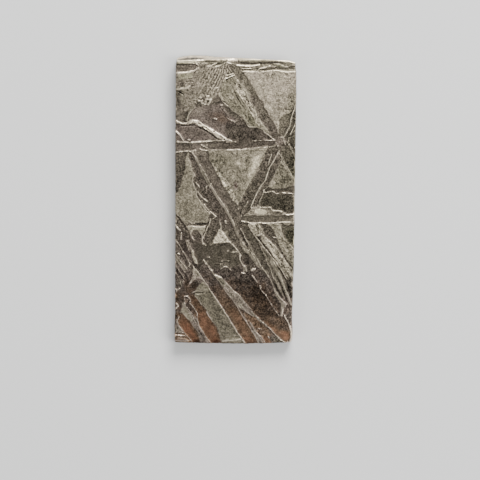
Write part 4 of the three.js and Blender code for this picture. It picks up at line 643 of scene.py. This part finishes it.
# Soft changes of tone within the plates and fields, where they are lighter, darker or warmer than the rest.
# Each entry is how much the brightness and the tint change, its middle, its half length and half width, and
# the way it lies in degrees.
TONES = [
    # the upper right
    (-0.17, -0.15, (8.5, 14.8), 2.2, 0.9, 90),
    (-0.03, 0.03, (7.1, 12.2), 2, 0.5, 80),
    (0.06, 0, (5.1, 14), 1, 0.7, 0),
    (0.05, 0, (4.6, 16.6), 1.8, 1.2, 60),
    (-0.08, 0, (5.6, 18.6), 0.9, 0.5, 0),
    (0.05, 0, (4.2, 18.3), 0.9, 0.6, 0),
    (-0.06, 0, (4.2, 19.7), 1.8, 0.35, 0),
    (-0.05, 0, (2.4, 16.4), 2, 0.5, -60),
    (0.05, 0, (5, 8), 1, 0.5, 0),
    (-0.1, -0.2, (2.35, 12.1), 1.1, 0.4, -60),
    (0.06, 0, (4.2, 9.7), 0.9, 0.5, -20),
    (0.1, 0.1, (6.7, 9.1), 0.9, 0.7, 0),
    # the upper left
    (0.09, -0.1, (-7.95, 15.6), 1.3, 0.22, 90),
    (-0.07, 0, (-8.6, 15), 1.2, 0.3, 90),
    (0.05, 0, (-3.6, 15.6), 1.2, 0.5, 30),
    (-0.05, 0, (-2.8, 11.9), 1.2, 0.7, -30),
    (-0.07, 0, (-8.6, 11.2), 1.4, 0.4, 90),
    (0.06, 0, (0.3, 12), 1.3, 0.7, 0),
    (0.06, 0, (-3.6, 8.3), 1.4, 0.5, 0),
    (0.06, -0.1, (-5.6, 13.4), 1, 0.7, 20),
    (-0.1, 0.1, (-8.2, 17.5), 0.8, 0.4, 0),
    (-0.06, 0.12, (-2.2, 12.6), 2, 0.9, -20),
    (0.08, 0.05, (-8.5, 7.8), 0.9, 0.6, 90),
    (0.08, 0, (-5.2, 8.1), 2.4, 0.8, 3),
    (0.07, 0, (-0.4, 10.6), 0.8, 0.7, 0),
    # the central triangle
    (0.34, 0, (2.85, 5.4), 1.9, 0.5, 62),
    (0.12, 0, (2.6, 3.5), 1.5, 0.5, 62),
    (0.12, 0, (3.5, 4.6), 0.6, 0.3, 60),
    (0.1, 0, (3.3, 6.6), 1.6, 0.9, 50),
    (0.24, 0, (0.4, 5.7), 0.45, 0.28, 20),
    (0.13, 0, (1.4, 6.6), 0.6, 0.4, 10),
    (0.06, 0, (0.3, 6), 1.3, 1, 0),
    (-0.05, 0.45, (0.12, 2.35), 0.35, 0.6, 0),
    (-0.05, -0.1, (-1.6, 6.1), 1.8, 1, 0),
    # the middle, beside the triangle and below it
    (-0.08, 0, (-8.7, 2.6), 1.6, 0.25, 90),
    (0.07, 0, (-5.2, 7.3), 1.6, 0.4, 0),
    (-0.05, 0, (7.4, 2.6), 0.9, 0.4, 0),
    (0.08, -0.1, (-1.3, -4.5), 0.9, 0.4, -60),
    # between the middle and the lower end
    (0.02, 0, (-0.6, -7.6), 1.6, 0.9, 0),
    (-0.06, 0.1, (1.9, -8.9), 0.7, 0.9, 0),
    (-0.1, 0, (8.3, -10.6), 1.5, 0.6, -60),
    (-0.08, 0, (8.3, -12.8), 1.2, 0.5, -80),
    (-0.08, 0, (-8.5, -10.5), 1.4, 0.4, -60),
    (-0.06, 0.05, (-7.3, -11.8), 1.2, 0.5, -80),
    (-0.09, -0.1, (-5.9, -12.5), 0.9, 0.5, 30),
    (0, 0.1, (-7, -9.5), 3, 5, 0),
    (-0.1, -0.05, (8.6, -8.6), 2, 0.5, -80),
    (0.06, 0, (-0.6, -9.6), 2.6, 0.5, 0),
    (0.1, 0.1, (-4.7, -12.9), 0.7, 0.5, 0),
    # the lower end, with the warm film over all of it
    (-0.08, 0.1, (-8.8, -16.5), 5, 0.35, 90),
    (-0.06, 0.05, (3.6, -13.6), 2.4, 1.2, -50),
    (-0.05, 0, (-3, -15.2), 2, 0.9, -60),
    (0, 0.28, (-1, -17.5), 13, 6, 0),
    (0, 0.15, (-1, -21), 9, 0.7, 0),
    (0.03, 0.12, (-6.2, -19.6), 1.2, 0.4, -55),
    (0.03, 0.1, (-2.9, -19), 1.6, 0.5, -60),
    (-0.17, -0.1, (-5.5, -21.1), 0.7, 0.35, 0),
    (-0.14, 0.1, (-2.6, -21.1), 0.9, 0.45, 0),
    (0.04, 0.25, (-7, -19.1), 0.6, 0.4, -50),
    (0.12, -0.1, (-0.2, -20.6), 1.4, 0.35, 0),
    (0.1, -0.2, (0.9, -15.6), 0.5, 0.35, -50),
    (0.03, 0.1, (7.6, -20.2), 1.2, 0.6, -50),
]

# The comb of fine plessite at the top left: thin lamellae that fan out from a point beyond the top end.
COMB_FOCUS = (1.84, 28.8)
COMB_PITCH = 0.033
COMB_OUTLINE = [(-6, 20.2), (-4.4, 20.2), (-3, 20), (-1.3, 20.5), (-0.9, 19.8), (-1.4, 18.4), (-2.1, 17.9),
                (-2.1, 17), (-2.9, 16), (-3.6, 15.1), (-4.1, 14.4), (-5, 14.6), (-6.3, 15.2)]


def reach_of(x, y, points, margin):
    """The places that lie within a margin of the box round the points."""
    across, along = zip(*points)
    inside = (x > min(across) - margin) & (x < max(across) + margin)
    return np.flatnonzero(inside & (y > min(along) - margin) & (y < max(along) + margin))


def distance_to(x, y, points):
    """How far each place lies from the line through the points."""
    nearest = np.full(x.shape, 99.0)
    for (ax, ay), (bx, by) in zip(points, points[1:]):
        run, rise = bx - ax, by - ay
        share = np.clip(((x - ax) * run + (y - ay) * rise) / (run * run + rise * rise), 0, 1)
        nearest = np.minimum(nearest, np.hypot(x - ax - share * run, y - ay - share * rise))
    return nearest


def depth_inside(x, y, outline):
    """How far each place lies inside an outline, and below 0 outside it."""
    closed = [*outline, outline[0]]
    within = np.zeros(x.shape, bool)
    for (ax, ay), (bx, by) in zip(closed, closed[1:]):
        crosses = (ay > y) != (by > y)
        within ^= crosses & (x < ax + (bx - ax) * (y - ay) / (by - ay + 1e-12))
    return distance_to(x, y, closed) * np.where(within, 1, -1)


def turned(x, y, lay):
    """Places measured along and across a direction given in degrees."""
    turn = radians(lay)
    return x * cos(turn) + y * sin(turn), y * cos(turn) - x * sin(turn)


def grains(x, y, size, lay, seed):
    """Granular lumps, drawn out along the lay, if there is one."""
    if lay is None:
        return mottle(x, y, size, seed)
    with_lay, across_lay = turned(x, y, lay)
    return mottle(with_lay / DRAWN_OUT, across_lay, size * DRAWN_THIN, seed)


def lumpy(value, layers, x, y, seed):
    """A value with random lumps added in layers, each of a size and a height."""
    for number, (size, height) in enumerate(layers):
        value = value + height * mottle(x, y, size, seed + number)
    return value


def blend(values, goal, share, at=...):
    """Moves values towards a goal by a share, at some places or at all of them."""
    values[at] += (goal - values[at]) * share


def cut(lines, shade, x, y, depth, bright):
    """Lowers the floor along each line and darkens it there with painted shade."""
    for width, deeper, points in lines:
        at = reach_of(x, y, points, width)
        share = 1 - smooth(distance_to(x[at], y[at], points), 0, width)
        depth[at] += deeper * share
        bright[at] *= 1 - shade * share


WANDER = ((0.7, 0.05), (0.25, 0.02))
FLOOR_LUMPS = ((0.9, 0.012), (0.22, 0.01))
DRAWN_OUT = 3.5
DRAWN_THIN = 0.8
GROOVE_SHADE = 0.38
PIT_SHADE = 0.7
DEEPEST = 0.3
FIELD_RIM_HEIGHT = 0.02
FIELD_RIM_LIGHT = 0.08
LUMP = 0.34
SMALL_LUMP = 0.18
LUMP_HEIGHT = 0.018
LUMP_SHADE = 0.09
COMB_DEPTH = 0.04
COMB_LIGHT = 0.38
COMB_SHADE = 0.28
COMB_LEVEL = 0.4
RIB_SHARE = 0.33
RIB_BEADS = 0.22
RIB_BEAD_DROP = 0.03
RIB_CLEAN = 0.7


def etched(x, y):
    """What the acid leaves at each place: depth, brightness, tint, shine and grain."""
    near_x = lumpy(x, WANDER, x, y, 1)
    near_y = lumpy(y, WANDER, x, y, 3)
    depth = lumpy(FLOOR_DEPTH, FLOOR_LUMPS, x, y, 5)
    bright = np.full(x.shape, FLOOR_BRIGHTNESS)
    tint = np.full(x.shape, FLOOR_TINT)
    shine = np.zeros(x.shape)
    grain = np.full(x.shape, FLOOR_GRAIN)
    beading = np.clip(0.5 + 0.45 * mottle(x, y, 0.32, 9) + 0.3 * mottle(x, y, 0.17, 18), 0, 1)
    for brightness, colour, soft, coarse, outline in PLATES:
        at = reach_of(near_x, near_y, outline, soft)
        share = smooth(depth_inside(near_x[at], near_y[at], outline), -soft, soft)
        blend(bright, brightness, share, at)
        blend(tint, colour, share, at)
        blend(grain, coarse, share, at)
    for number, (brightness, colour, coarse, lay, outline) in enumerate(FIELDS):
        at = reach_of(near_x, near_y, outline, 0.3)
        inside = depth_inside(near_x[at], near_y[at], outline)
        share = smooth(inside, -0.08, 0.06)
        rim = (0.3 + 0.7 * beading[at]) * (1 - smooth(np.abs(inside - 0.04), 0.03, 0.12))
        lumps = grains(x[at], y[at], LUMP, lay, 20 + number)
        lumps = lumps + 0.6 * grains(x[at], y[at], SMALL_LUMP, lay, 60 + number)
        level = FIELD_DEPTH + coarse * LUMP_HEIGHT * lumps
        depth[at] += (level - depth[at]) * smooth(inside, -0.25, 0.14) - FIELD_RIM_HEIGHT * rim
        blend(bright, brightness - coarse * LUMP_SHADE * lumps, share, at)
        bright[at] += FIELD_RIM_LIGHT * rim
        blend(tint, colour, share, at)
        blend(grain, coarse, share, at)
    for change, colour, middle, length, breadth, lay in TONES:
        far, aside = turned(near_x - middle[0], near_y - middle[1], lay)
        out = np.hypot(far / length, aside / breadth)
        share = 1 - smooth(out + 0.25 * mottle(x, y, 0.5, 16), 0.3, 1.4)
        bright += change * share
        tint += colour * share
    comb = smooth(depth_inside(near_x, near_y, COMB_OUTLINE), -0.1, 0.25)
    comb *= 0.35 + 0.65 * smooth(near_x + 0.9 * mottle(x, y, 1.1, 10), -5.6, -4)
    turn = np.arctan2(near_x - COMB_FOCUS[0], COMB_FOCUS[1] - near_y)
    lamella = 0.5 + 0.5 * np.cos(2 * pi * turn / COMB_PITCH + 2 * mottle(x, y, 1.4, 7))
    beads = mottle(x, y, 0.27, 8)
    lamella = 0.5 + (smooth(lamella, 0.1, 0.9) - 0.5) * (0.75 + 0.9 * beads) + 0.25 * mottle(x, y, 0.2, 17)
    depth += comb * COMB_DEPTH * (1 - lamella)
    above = lamella - COMB_LEVEL
    bright += comb * (COMB_LIGHT * np.maximum(above, 0) + COMB_SHADE * np.minimum(above, 0))
    cut(GROOVES, GROOVE_SHADE, near_x, near_y, depth, bright)
    for width, brightness, points in RIBS:
        at = reach_of(near_x, near_y, points, width + RIB_RAMP)
        away = distance_to(near_x[at], near_y[at], points)
        half = width * (RIB_SHARE + RIB_BEADS * beading[at])
        crest = 1 - smooth(away, 0.2 * half, half + RIB_RAMP)
        top = RIB_DEPTH + RIB_BEAD_DROP * (1 - beading[at])
        blend(depth, np.minimum(top, depth[at]), crest, at)
        gleam = 1 - smooth(away, 0.5 * half, half + 0.03)
        lit = brightness * (0.86 + 0.3 * beading[at])
        blend(bright, np.maximum(lit, bright[at]), gleam, at)
        shine[at] = np.maximum(shine[at], gleam)
        tint[at] *= 1 - RIB_CLEAN * gleam
    cut(PITS, PIT_SHADE, near_x, near_y, depth, bright)
    return np.clip(depth, 0.0, DEEPEST), bright, tint, shine, grain


# The back. It is hidden where it lies, ground and etched as the front is. The same plates come out on it,
# moved across by their dip through the thickness.
BACK_SHIFT = (0.7, -0.6)
SHIFT_SPREAD = 0.5


def etched_back(x, y):
    """What the acid leaves at each place of the back."""
    dip_x = BACK_SHIFT[0] + SHIFT_SPREAD * mottle(x, y, 7, 101)
    dip_y = BACK_SHIFT[1] + SHIFT_SPREAD * mottle(x, y, 7, 102)
    looks = etched(x + dip_x, y + dip_y)
    return np.maximum(looks[0] - RIB_DEPTH, 0), *looks[1:]


# The slab takes its shape: its points are spread over the sawn outline, its rims rounded, and both faces and
# the sides lowered by what the acid took. Thinning then keeps its points where the surface bends.
MOST_TRIANGLES = 186000
RIM_REACH = 0.45
END_BEVEL = 0.45
END_BEVEL_WIDTH = 0.34
SIDE_LEAN = 0.354
SIDE_ETCHING = 0.3
STEEPEST = 0.995
OUTERMOST = 0.999
SHARP_EDGE = 42


def places(mesh):
    """The mesh's points as rows of x, y and z."""
    spots = np.empty(len(mesh.vertices) * 3)
    mesh.vertices.foreach_get("co", spots)
    return spots.reshape(-1, 3).T


def share_of_sides(x, y, z):
    """The etching on the sides, where the front's plates show as bands that lean down the cut."""
    lean = SIDE_LEAN * np.maximum(THICKNESS - RIM_REACH - z, 0)
    return etched(x + lean * np.sign(y), y - lean * np.sign(x))


def ground_end(x, y):
    """How far the narrow bevel that was ground along the leaning end lowers the front."""
    inside = lean_line(x, THICKNESS) - y
    return END_BEVEL * np.clip(END_BEVEL_WIDTH - inside, 0, END_BEVEL_WIDTH) * smooth(-x, -2.5, 0.5)


across, along, up = places(slab)
z = THICKNESS * (0.5 - 0.5 * np.cos(pi * up))
fall = np.clip((np.abs(z - THICKNESS / 2) - (THICKNESS / 2 - RIM)) / RIM, 0, 1)
rounding = RIM * (1 - np.sqrt(1 - np.minimum(fall, STEEPEST) ** 2))
left, right, low, high = sawn_edges(across * BLANK[0], along * BLANK[1], z)
x = left + rounding + (right - left - 2 * rounding) * (across + 1) / 2
y = low + rounding + (high - low - 2 * rounding) * (along + 1) / 2

on_front = up > OUTERMOST
on_back = up < 1 - OUTERMOST
on_side = ~(on_front | on_back)
lowered = np.zeros(x.shape)
lowered[on_front] = etched(x[on_front], y[on_front])[0]
lowered[on_back] = etched_back(x[on_back], y[on_back])[0]
lowered[on_side] = SIDE_ETCHING * share_of_sides(x[on_side], y[on_side], z[on_side])[0]
near_front = smooth(z, THICKNESS - RIM_REACH, THICKNESS)
near_back = smooth(-z, -RIM_REACH, 0)
sunk = np.where(on_front, lowered, 0.0)
raised = np.where(on_back, lowered, 0.0)
sunk[on_side] = near_front[on_side] * etched(x[on_side], y[on_side])[0]
raised[on_side] = near_back[on_side] * etched_back(x[on_side], y[on_side])[0]
sunk += near_front * ground_end(x, y)
z += raised - sunk
for spots, way in ((x, across), (y, along)):
    spots[on_side] -= lowered[on_side] * np.sign(way[on_side]) * (np.abs(way[on_side]) > OUTERMOST)
slab.vertices.foreach_set("co", (np.array([x, y + DATUM_Y, z]).T * MM).ravel())
slab.update()

rough_slice = bpy.data.objects.new("rough_slice", slab)
bpy.context.collection.objects.link(rough_slice)
thinning = rough_slice.modifiers.new("thinning", "DECIMATE")
thinning.ratio = min(1.0, MOST_TRIANGLES / (2 * len(slab.polygons)))
thinned = rough_slice.evaluated_get(bpy.context.evaluated_depsgraph_get())
skin = bpy.data.meshes.new_from_object(thinned)
bpy.data.objects.remove(rough_slice)
bpy.data.meshes.remove(slab)
skin.name = "etched_slice"
skin.shade_smooth()
skin.set_sharp_from_angle(angle=radians(SHARP_EDGE))

x, y, z = places(skin) / MM
x = np.clip(x, -HALF_WIDTH, HALF_WIDTH)
y = np.clip(y, -HALF_LENGTH, HALF_LENGTH)
z = np.clip(z, 0, THICKNESS)
skin.vertices.foreach_set("co", (np.array([x, y, z]).T * MM).ravel())
y = y - DATUM_Y
looks = np.array(share_of_sides(x, y, z))
looks[4] *= 0.5
top = z > THICKNESS - RIM_REACH
under = z < RIM_REACH
looks[:, top] = etched(x[top], y[top])
looks[:, under] = etched_back(x[under], y[under])

# The burr that the grinding left along the rims is smooth, with a bright highlight painted on it, most of all
# round the top end. The leaning face is grey, with painted shade at its left and painted light to the right,
# and a broad painted highlight over ground streaks where it runs out towards the back. Here and there along
# the two long edges a painted glint lies on the burr; each entry is its side, its place along the edge and
# half length.
GLINTS = [
    (1, 8.05, 0.15), (1, 5.5, 0.5), (1, 3, 0.7), (1, 0.2, 1), (1, -2, 0.9), (1, -5.8, 0.7), (1, -12.4, 0.3),
    (-1, 17.3, 0.35), (-1, 13.6, 0.3), (-1, -3, 0.3), (-1, -9.2, 0.2), (-1, -14.2, 0.3), (-1, -20.1, 0.3),
]
END_LINE = 0.13
LEFT_NARROWER = 0.09
RIGHT_NARROWER = 0.045
GLINT_LIGHT = 0.6
CORNER_LIGHT = 0.7
SIDE_RIM_HIGHLIGHT = 0.56
BURR_HIGHLIGHT = 1.1
LEAN_PAINTED_LIGHT = 0.95
STREAK_HIGHLIGHT = 1.07
left, right, low, high = sawn_edges(x, y, z)
wear_and_sheen = 0.6 + 0.4 * mottle(x, y, 0.8, 15)
outer = along_edge(x, TOP_EDGE)
# The burr's painted highlight runs along the front edge of the top end, narrower between -5.2 and 6.4 (most
# left of 0) and dimmer between 3.4 and 6.4.
keen = END_LINE - LEFT_NARROWER * between(x, -5.2, -4.4, -0.6, 0)
keen -= RIGHT_NARROWER * between(x, 0, 0.6, 5.9, 6.4)
at_end = (1 - smooth(high - y, keen, keen + 0.11)) * smooth(z, THICKNESS - 0.55, THICKNESS - 0.42)
at_end *= 1 - 0.4 * between(x, 3.4, 3.9, 5.9, 6.4)
# The long rims get a painted highlight on their worn rounding, patchy along their length and fainter on the
# left.
at_left = 0.6 * wear_and_sheen * (1 - smooth(np.minimum(x - left, y - low), 0.6 * RIM, 1.4 * RIM))
on_corner = smooth(x, 7.6, 8.2) * smooth(-y, 18.6, 19.4)
at_right = wear_and_sheen * (1 - smooth(right - x, RIM, 2 * RIM))
at_corner = on_corner * (1 - smooth(np.minimum(right - x, y - low), 1.2 * RIM, 2 * RIM))
near_rim = smooth(np.abs(z - THICKNESS / 2), THICKNESS / 2 - 2.2 * RIM, THICKNESS / 2 - 1.6 * RIM)
rim_highlight_along_sides = near_rim * np.maximum(at_left, at_right)
# The smooth burr with its painted highlight: along the top end's edge, round the lower right corner and at
# the glints.
burr_and_highlight = np.maximum(at_end, CORNER_LIGHT * near_rim * at_corner)
for side, middle, reach in GLINTS:
    beside = 1 - smooth(np.abs(y - middle), 0.6 * reach, reach)
    near_side = 1 - smooth(np.minimum(np.abs(x - left), np.abs(right - x)), RIM, 1.8 * RIM)
    burr_and_highlight = np.maximum(burr_and_highlight, GLINT_LIGHT * near_rim * near_side * beside * (x * side > 0))
on_lean = smooth(THICKNESS - z, 0.12, 0.3) * smooth(y, 20.9, 21.1)
on_lean *= smooth(outer - lean_line(x, z), -0.02, 0.06)
# Painted shade darkens the leaning face from -8.9 to -4.6, and painted light brightens it towards the right
# from -2.
lean_painted_light_and_shade = LEAN_PAINTED_LIGHT - 0.65 * between(x, -8.9, -8.6, -5.4, -4.6) + 0.15 * smooth(x, -2, 0)
# Where the leaning face runs out towards the back a broad highlight is painted, streaked along the grinding.
back_rim_highlight = on_lean * (1 - smooth(outer - y, 0.3, 0.55))
ground_streaks_and_highlight = STREAK_HIGHLIGHT + 0.13 * mottle(2.5 * x, 0.6 * z, 0.5, 18)
blend(looks[1], lean_painted_light_and_shade, on_lean)
blend(looks[1], SIDE_RIM_HIGHLIGHT, rim_highlight_along_sides)
blend(looks[1], BURR_HIGHLIGHT, burr_and_highlight)
blend(looks[3], 1, burr_and_highlight)
blend(looks[1], ground_streaks_and_highlight, back_rim_highlight)
blend(looks[3], 1, back_rim_highlight)
for name, values in zip(("brightness", "tint", "shine", "grain"), looks[1:]):
    skin.attributes.new(name, "FLOAT", "POINT").data.foreach_set("value", values)

etched_slice = bpy.data.objects.new("etched_slice", skin)
bpy.context.collection.objects.link(etched_slice)


# The etched iron: bare metal. The floor of a plate is finely pitted and dull, the plessite is granular, and
# the ribs are smooth and gleam; rust warms the plates near the bottom edge and an olive film lies on others.
class Wire:
    """A node's output that can be written in a sum."""

    def __init__(self, tree, socket):
        self.tree = tree
        self.socket = socket

    def joined(self, operation, first, second):
        return self.tree.node("ShaderNodeMath", {"operation": operation}, {0: first, 1: second})[0]

    def __add__(self, other):
        return self.joined("ADD", self, other)

    def __radd__(self, other):
        return self.joined("ADD", other, self)

    def __sub__(self, other):
        return self.joined("SUBTRACT", self, other)

    def __rsub__(self, other):
        return self.joined("SUBTRACT", other, self)

    def __mul__(self, other):
        return self.joined("MULTIPLY", self, other)

    def __rmul__(self, other):
        return self.joined("MULTIPLY", other, self)

    def __truediv__(self, other):
        return self.joined("DIVIDE", self, other)

    def __pow__(self, other):
        return self.joined("POWER", self, other)


class Finish:
    """A material, and the one way in which its nodes are added."""

    def __init__(self, name):
        self.material = bpy.data.materials.new(name)
        self.material.use_nodes = True
        self.nodes = self.material.node_tree.nodes
        self.links = self.material.node_tree.links
        self.surface = self.nodes["Principled BSDF"]

    def fill(self, node, values):
        for key, value in values.items():
            if isinstance(value, Wire):
                self.links.new(value.socket, node.inputs[key])
            else:
                node.inputs[key].default_value = value

    def node(self, kind, settings, values):
        made = self.nodes.new(kind)
        for key, value in settings.items():
            if key == "stops":
                for stop in value[2:]:
                    made.color_ramp.elements.new(stop[0])
                for stop, (place, colour) in zip(made.color_ramp.elements, value):
                    stop.position = place
                    stop.color = colour
            else:
                setattr(made, key, value)
        self.fill(made, values)
        return [Wire(self, socket) for socket in made.outputs if socket.enabled]


iron = Finish("etched_iron")
spot = iron.node("ShaderNodeTexCoord", {}, {})[3]


def painted(name):
    """A value kept on the mesh for every point."""
    return iron.node("ShaderNodeAttribute", {"attribute_name": name}, {})[2]


FILMS = [
    (0, (0.96, 0.875, 0.57, 1)),
    (0.333, (1, 0.86, 0.63, 1)),
    (0.47, (1, 0.8, 0.65, 1)),
    (0.67, (1, 0.66, 0.42, 1)),
    (1, (1, 0.49, 0.29, 1)),
]
SHINE_CALM = 0.65
RUST_CALM = 0.5
FINE_SPECKS = 0.9
DARK_SPECKS = 0.35
BROAD_SWING = 0.4
RUST_SWING = 0.22
HUE_SWING = 0.15
RUST_HUE = 0.12
LIGHT_POWER = 2.25
LIGHT_SCALE = 0.745
FINE_HEIGHT = 0.035
PIT_HEIGHT = 0.02
DULL = 0.5
POLISH = 0.16


def speckle(size, detail):
    """Fine noise on the metal from -0.5 to 0.5, with specks of a size in millimetres."""
    values = {"Vector": spot, "Scale": 1 / (size * MM), "Detail": detail, "Roughness": 0.6}
    return iron.node("ShaderNodeTexNoise", {}, values)[0] - 0.5


brightness, tint, shine, grain = (painted(name) for name in ("brightness", "tint", "shine", "grain"))
fine = speckle(0.2, 2)
broad = speckle(1.8, 3)
pits = speckle(0.13, 2)
patches = speckle(0.7, 4)
rust = iron.node("ShaderNodeMath", {"operation": "MAXIMUM"}, {0: tint, 1: 0})[0]
dulled = (1 - SHINE_CALM * shine) * (1 - RUST_CALM * rust)
specks = FINE_SPECKS * fine + DARK_SPECKS * pits + DARK_SPECKS * patches
speckled = brightness * (1 + BROAD_SWING * broad) + dulled * (0.4 + 0.7 * grain) * specks
level = speckled + RUST_SWING * rust * patches
hue = (tint + 0.5) / 1.5 + HUE_SWING * broad + RUST_HUE * rust * patches
film = iron.node("ShaderNodeValToRGB", {"stops": FILMS}, {"Fac": hue})[0]
strength = level**LIGHT_POWER * LIGHT_SCALE
colour = iron.node("ShaderNodeVectorMath", {"operation": "SCALE"}, {0: film, "Scale": strength})[0]
relief = fine * FINE_HEIGHT + pits * PIT_HEIGHT * (0.4 + grain)
height = relief * (1 - RIB_CLEAN * shine)
bumped = iron.node("ShaderNodeBump", {}, {"Strength": 0.8, "Distance": MM, "Height": height})[0]
iron.fill(
    iron.surface,
    {
        "Base Color": colour,
        "Metallic": 1.0,
        "Roughness": DULL - POLISH * shine + 0.25 * fine,
        "Normal": bumped,
    },
)
skin.materials.append(iron.material)
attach(etched_slice, "root")
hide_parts("meteorite_slice")

# The table top, a matt pale sheet that the slice lies on.
TABLE_SIZE = 1.2
table = bmesh.new()
bmesh.ops.create_grid(table, x_segments=1, y_segments=1, size=TABLE_SIZE / 2)
bmesh.ops.translate(table, verts=table.verts[:], vec=(0, 0, -0.02 * MM))
table_skin = bpy.data.meshes.new("table_top")
table.to_mesh(table_skin)
table.free()
table_top = bpy.data.objects.new("table_top", table_skin)
bpy.context.collection.objects.link(table_top)
paper = Finish("pale_table")
paper.fill(paper.surface, {"Base Color": (0.6, 0.6, 0.59, 1), "Roughness": 0.85})
table_skin.materials.append(paper.material)

# The light: one soft lamp beyond the top end, a weaker one at each side, and an even grey room.
KEY_PLACE = (0.1, 0.34, 0.3)
RIGHT_PLACE = (0.3, -0.1, 0.35)
LEFT_PLACE = (-0.3, -0.2, 0.32)
KEY_POWER = 4.6
RIGHT_POWER = 1.5
LEFT_POWER = 0.6
LAMP_SIZE = 0.3
ROOM_COLOUR = (0.8, 0.82, 0.85, 1)
ROOM_POWER = 0.65


def soft_lamp(name, place, power):
    """A round lamp that faces the middle of the slice."""
    lamp = bpy.data.lights.new(name, "AREA")
    lamp.shape = "DISK"
    lamp.size = LAMP_SIZE
    lamp.energy = power
    holder = bpy.data.objects.new(name, lamp)
    holder.location = place
    away = hypot(place[0], place[1])
    holder.rotation_euler = (0, atan2(away, place[2]), atan2(place[1], place[0]))
    bpy.context.collection.objects.link(holder)


soft_lamp("key_lamp", KEY_PLACE, KEY_POWER)
soft_lamp("right_lamp", RIGHT_PLACE, RIGHT_POWER)
soft_lamp("left_lamp", LEFT_PLACE, LEFT_POWER)
room = bpy.data.worlds.new("room")
room.use_nodes = True
room.node_tree.nodes["Background"].inputs["Color"].default_value = ROOM_COLOUR
room.node_tree.nodes["Background"].inputs["Strength"].default_value = ROOM_POWER
bpy.context.scene.world = room

# The camera looks straight down on the slice, which lies a little left of and above the middle of the view,
# and turned so that its top leans a little to the right.
VIEW_WIDTH = 71.7
CAMERA_HEIGHT = 0.7
AIM = (0.81, -6.06)
VIEW_TURN = 0.55
camera = bpy.data.cameras.new("camera")
camera.sensor_width = 36
camera.lens = camera.sensor_width * CAMERA_HEIGHT / (VIEW_WIDTH * MM)
camera.clip_start = 0.01
view = bpy.data.objects.new("camera", camera)
view.location = (AIM[0] * MM, AIM[1] * MM, CAMERA_HEIGHT + THICKNESS * MM)
view.rotation_euler = (0, 0, radians(VIEW_TURN))
bpy.context.collection.objects.link(view)
bpy.context.scene.camera = view
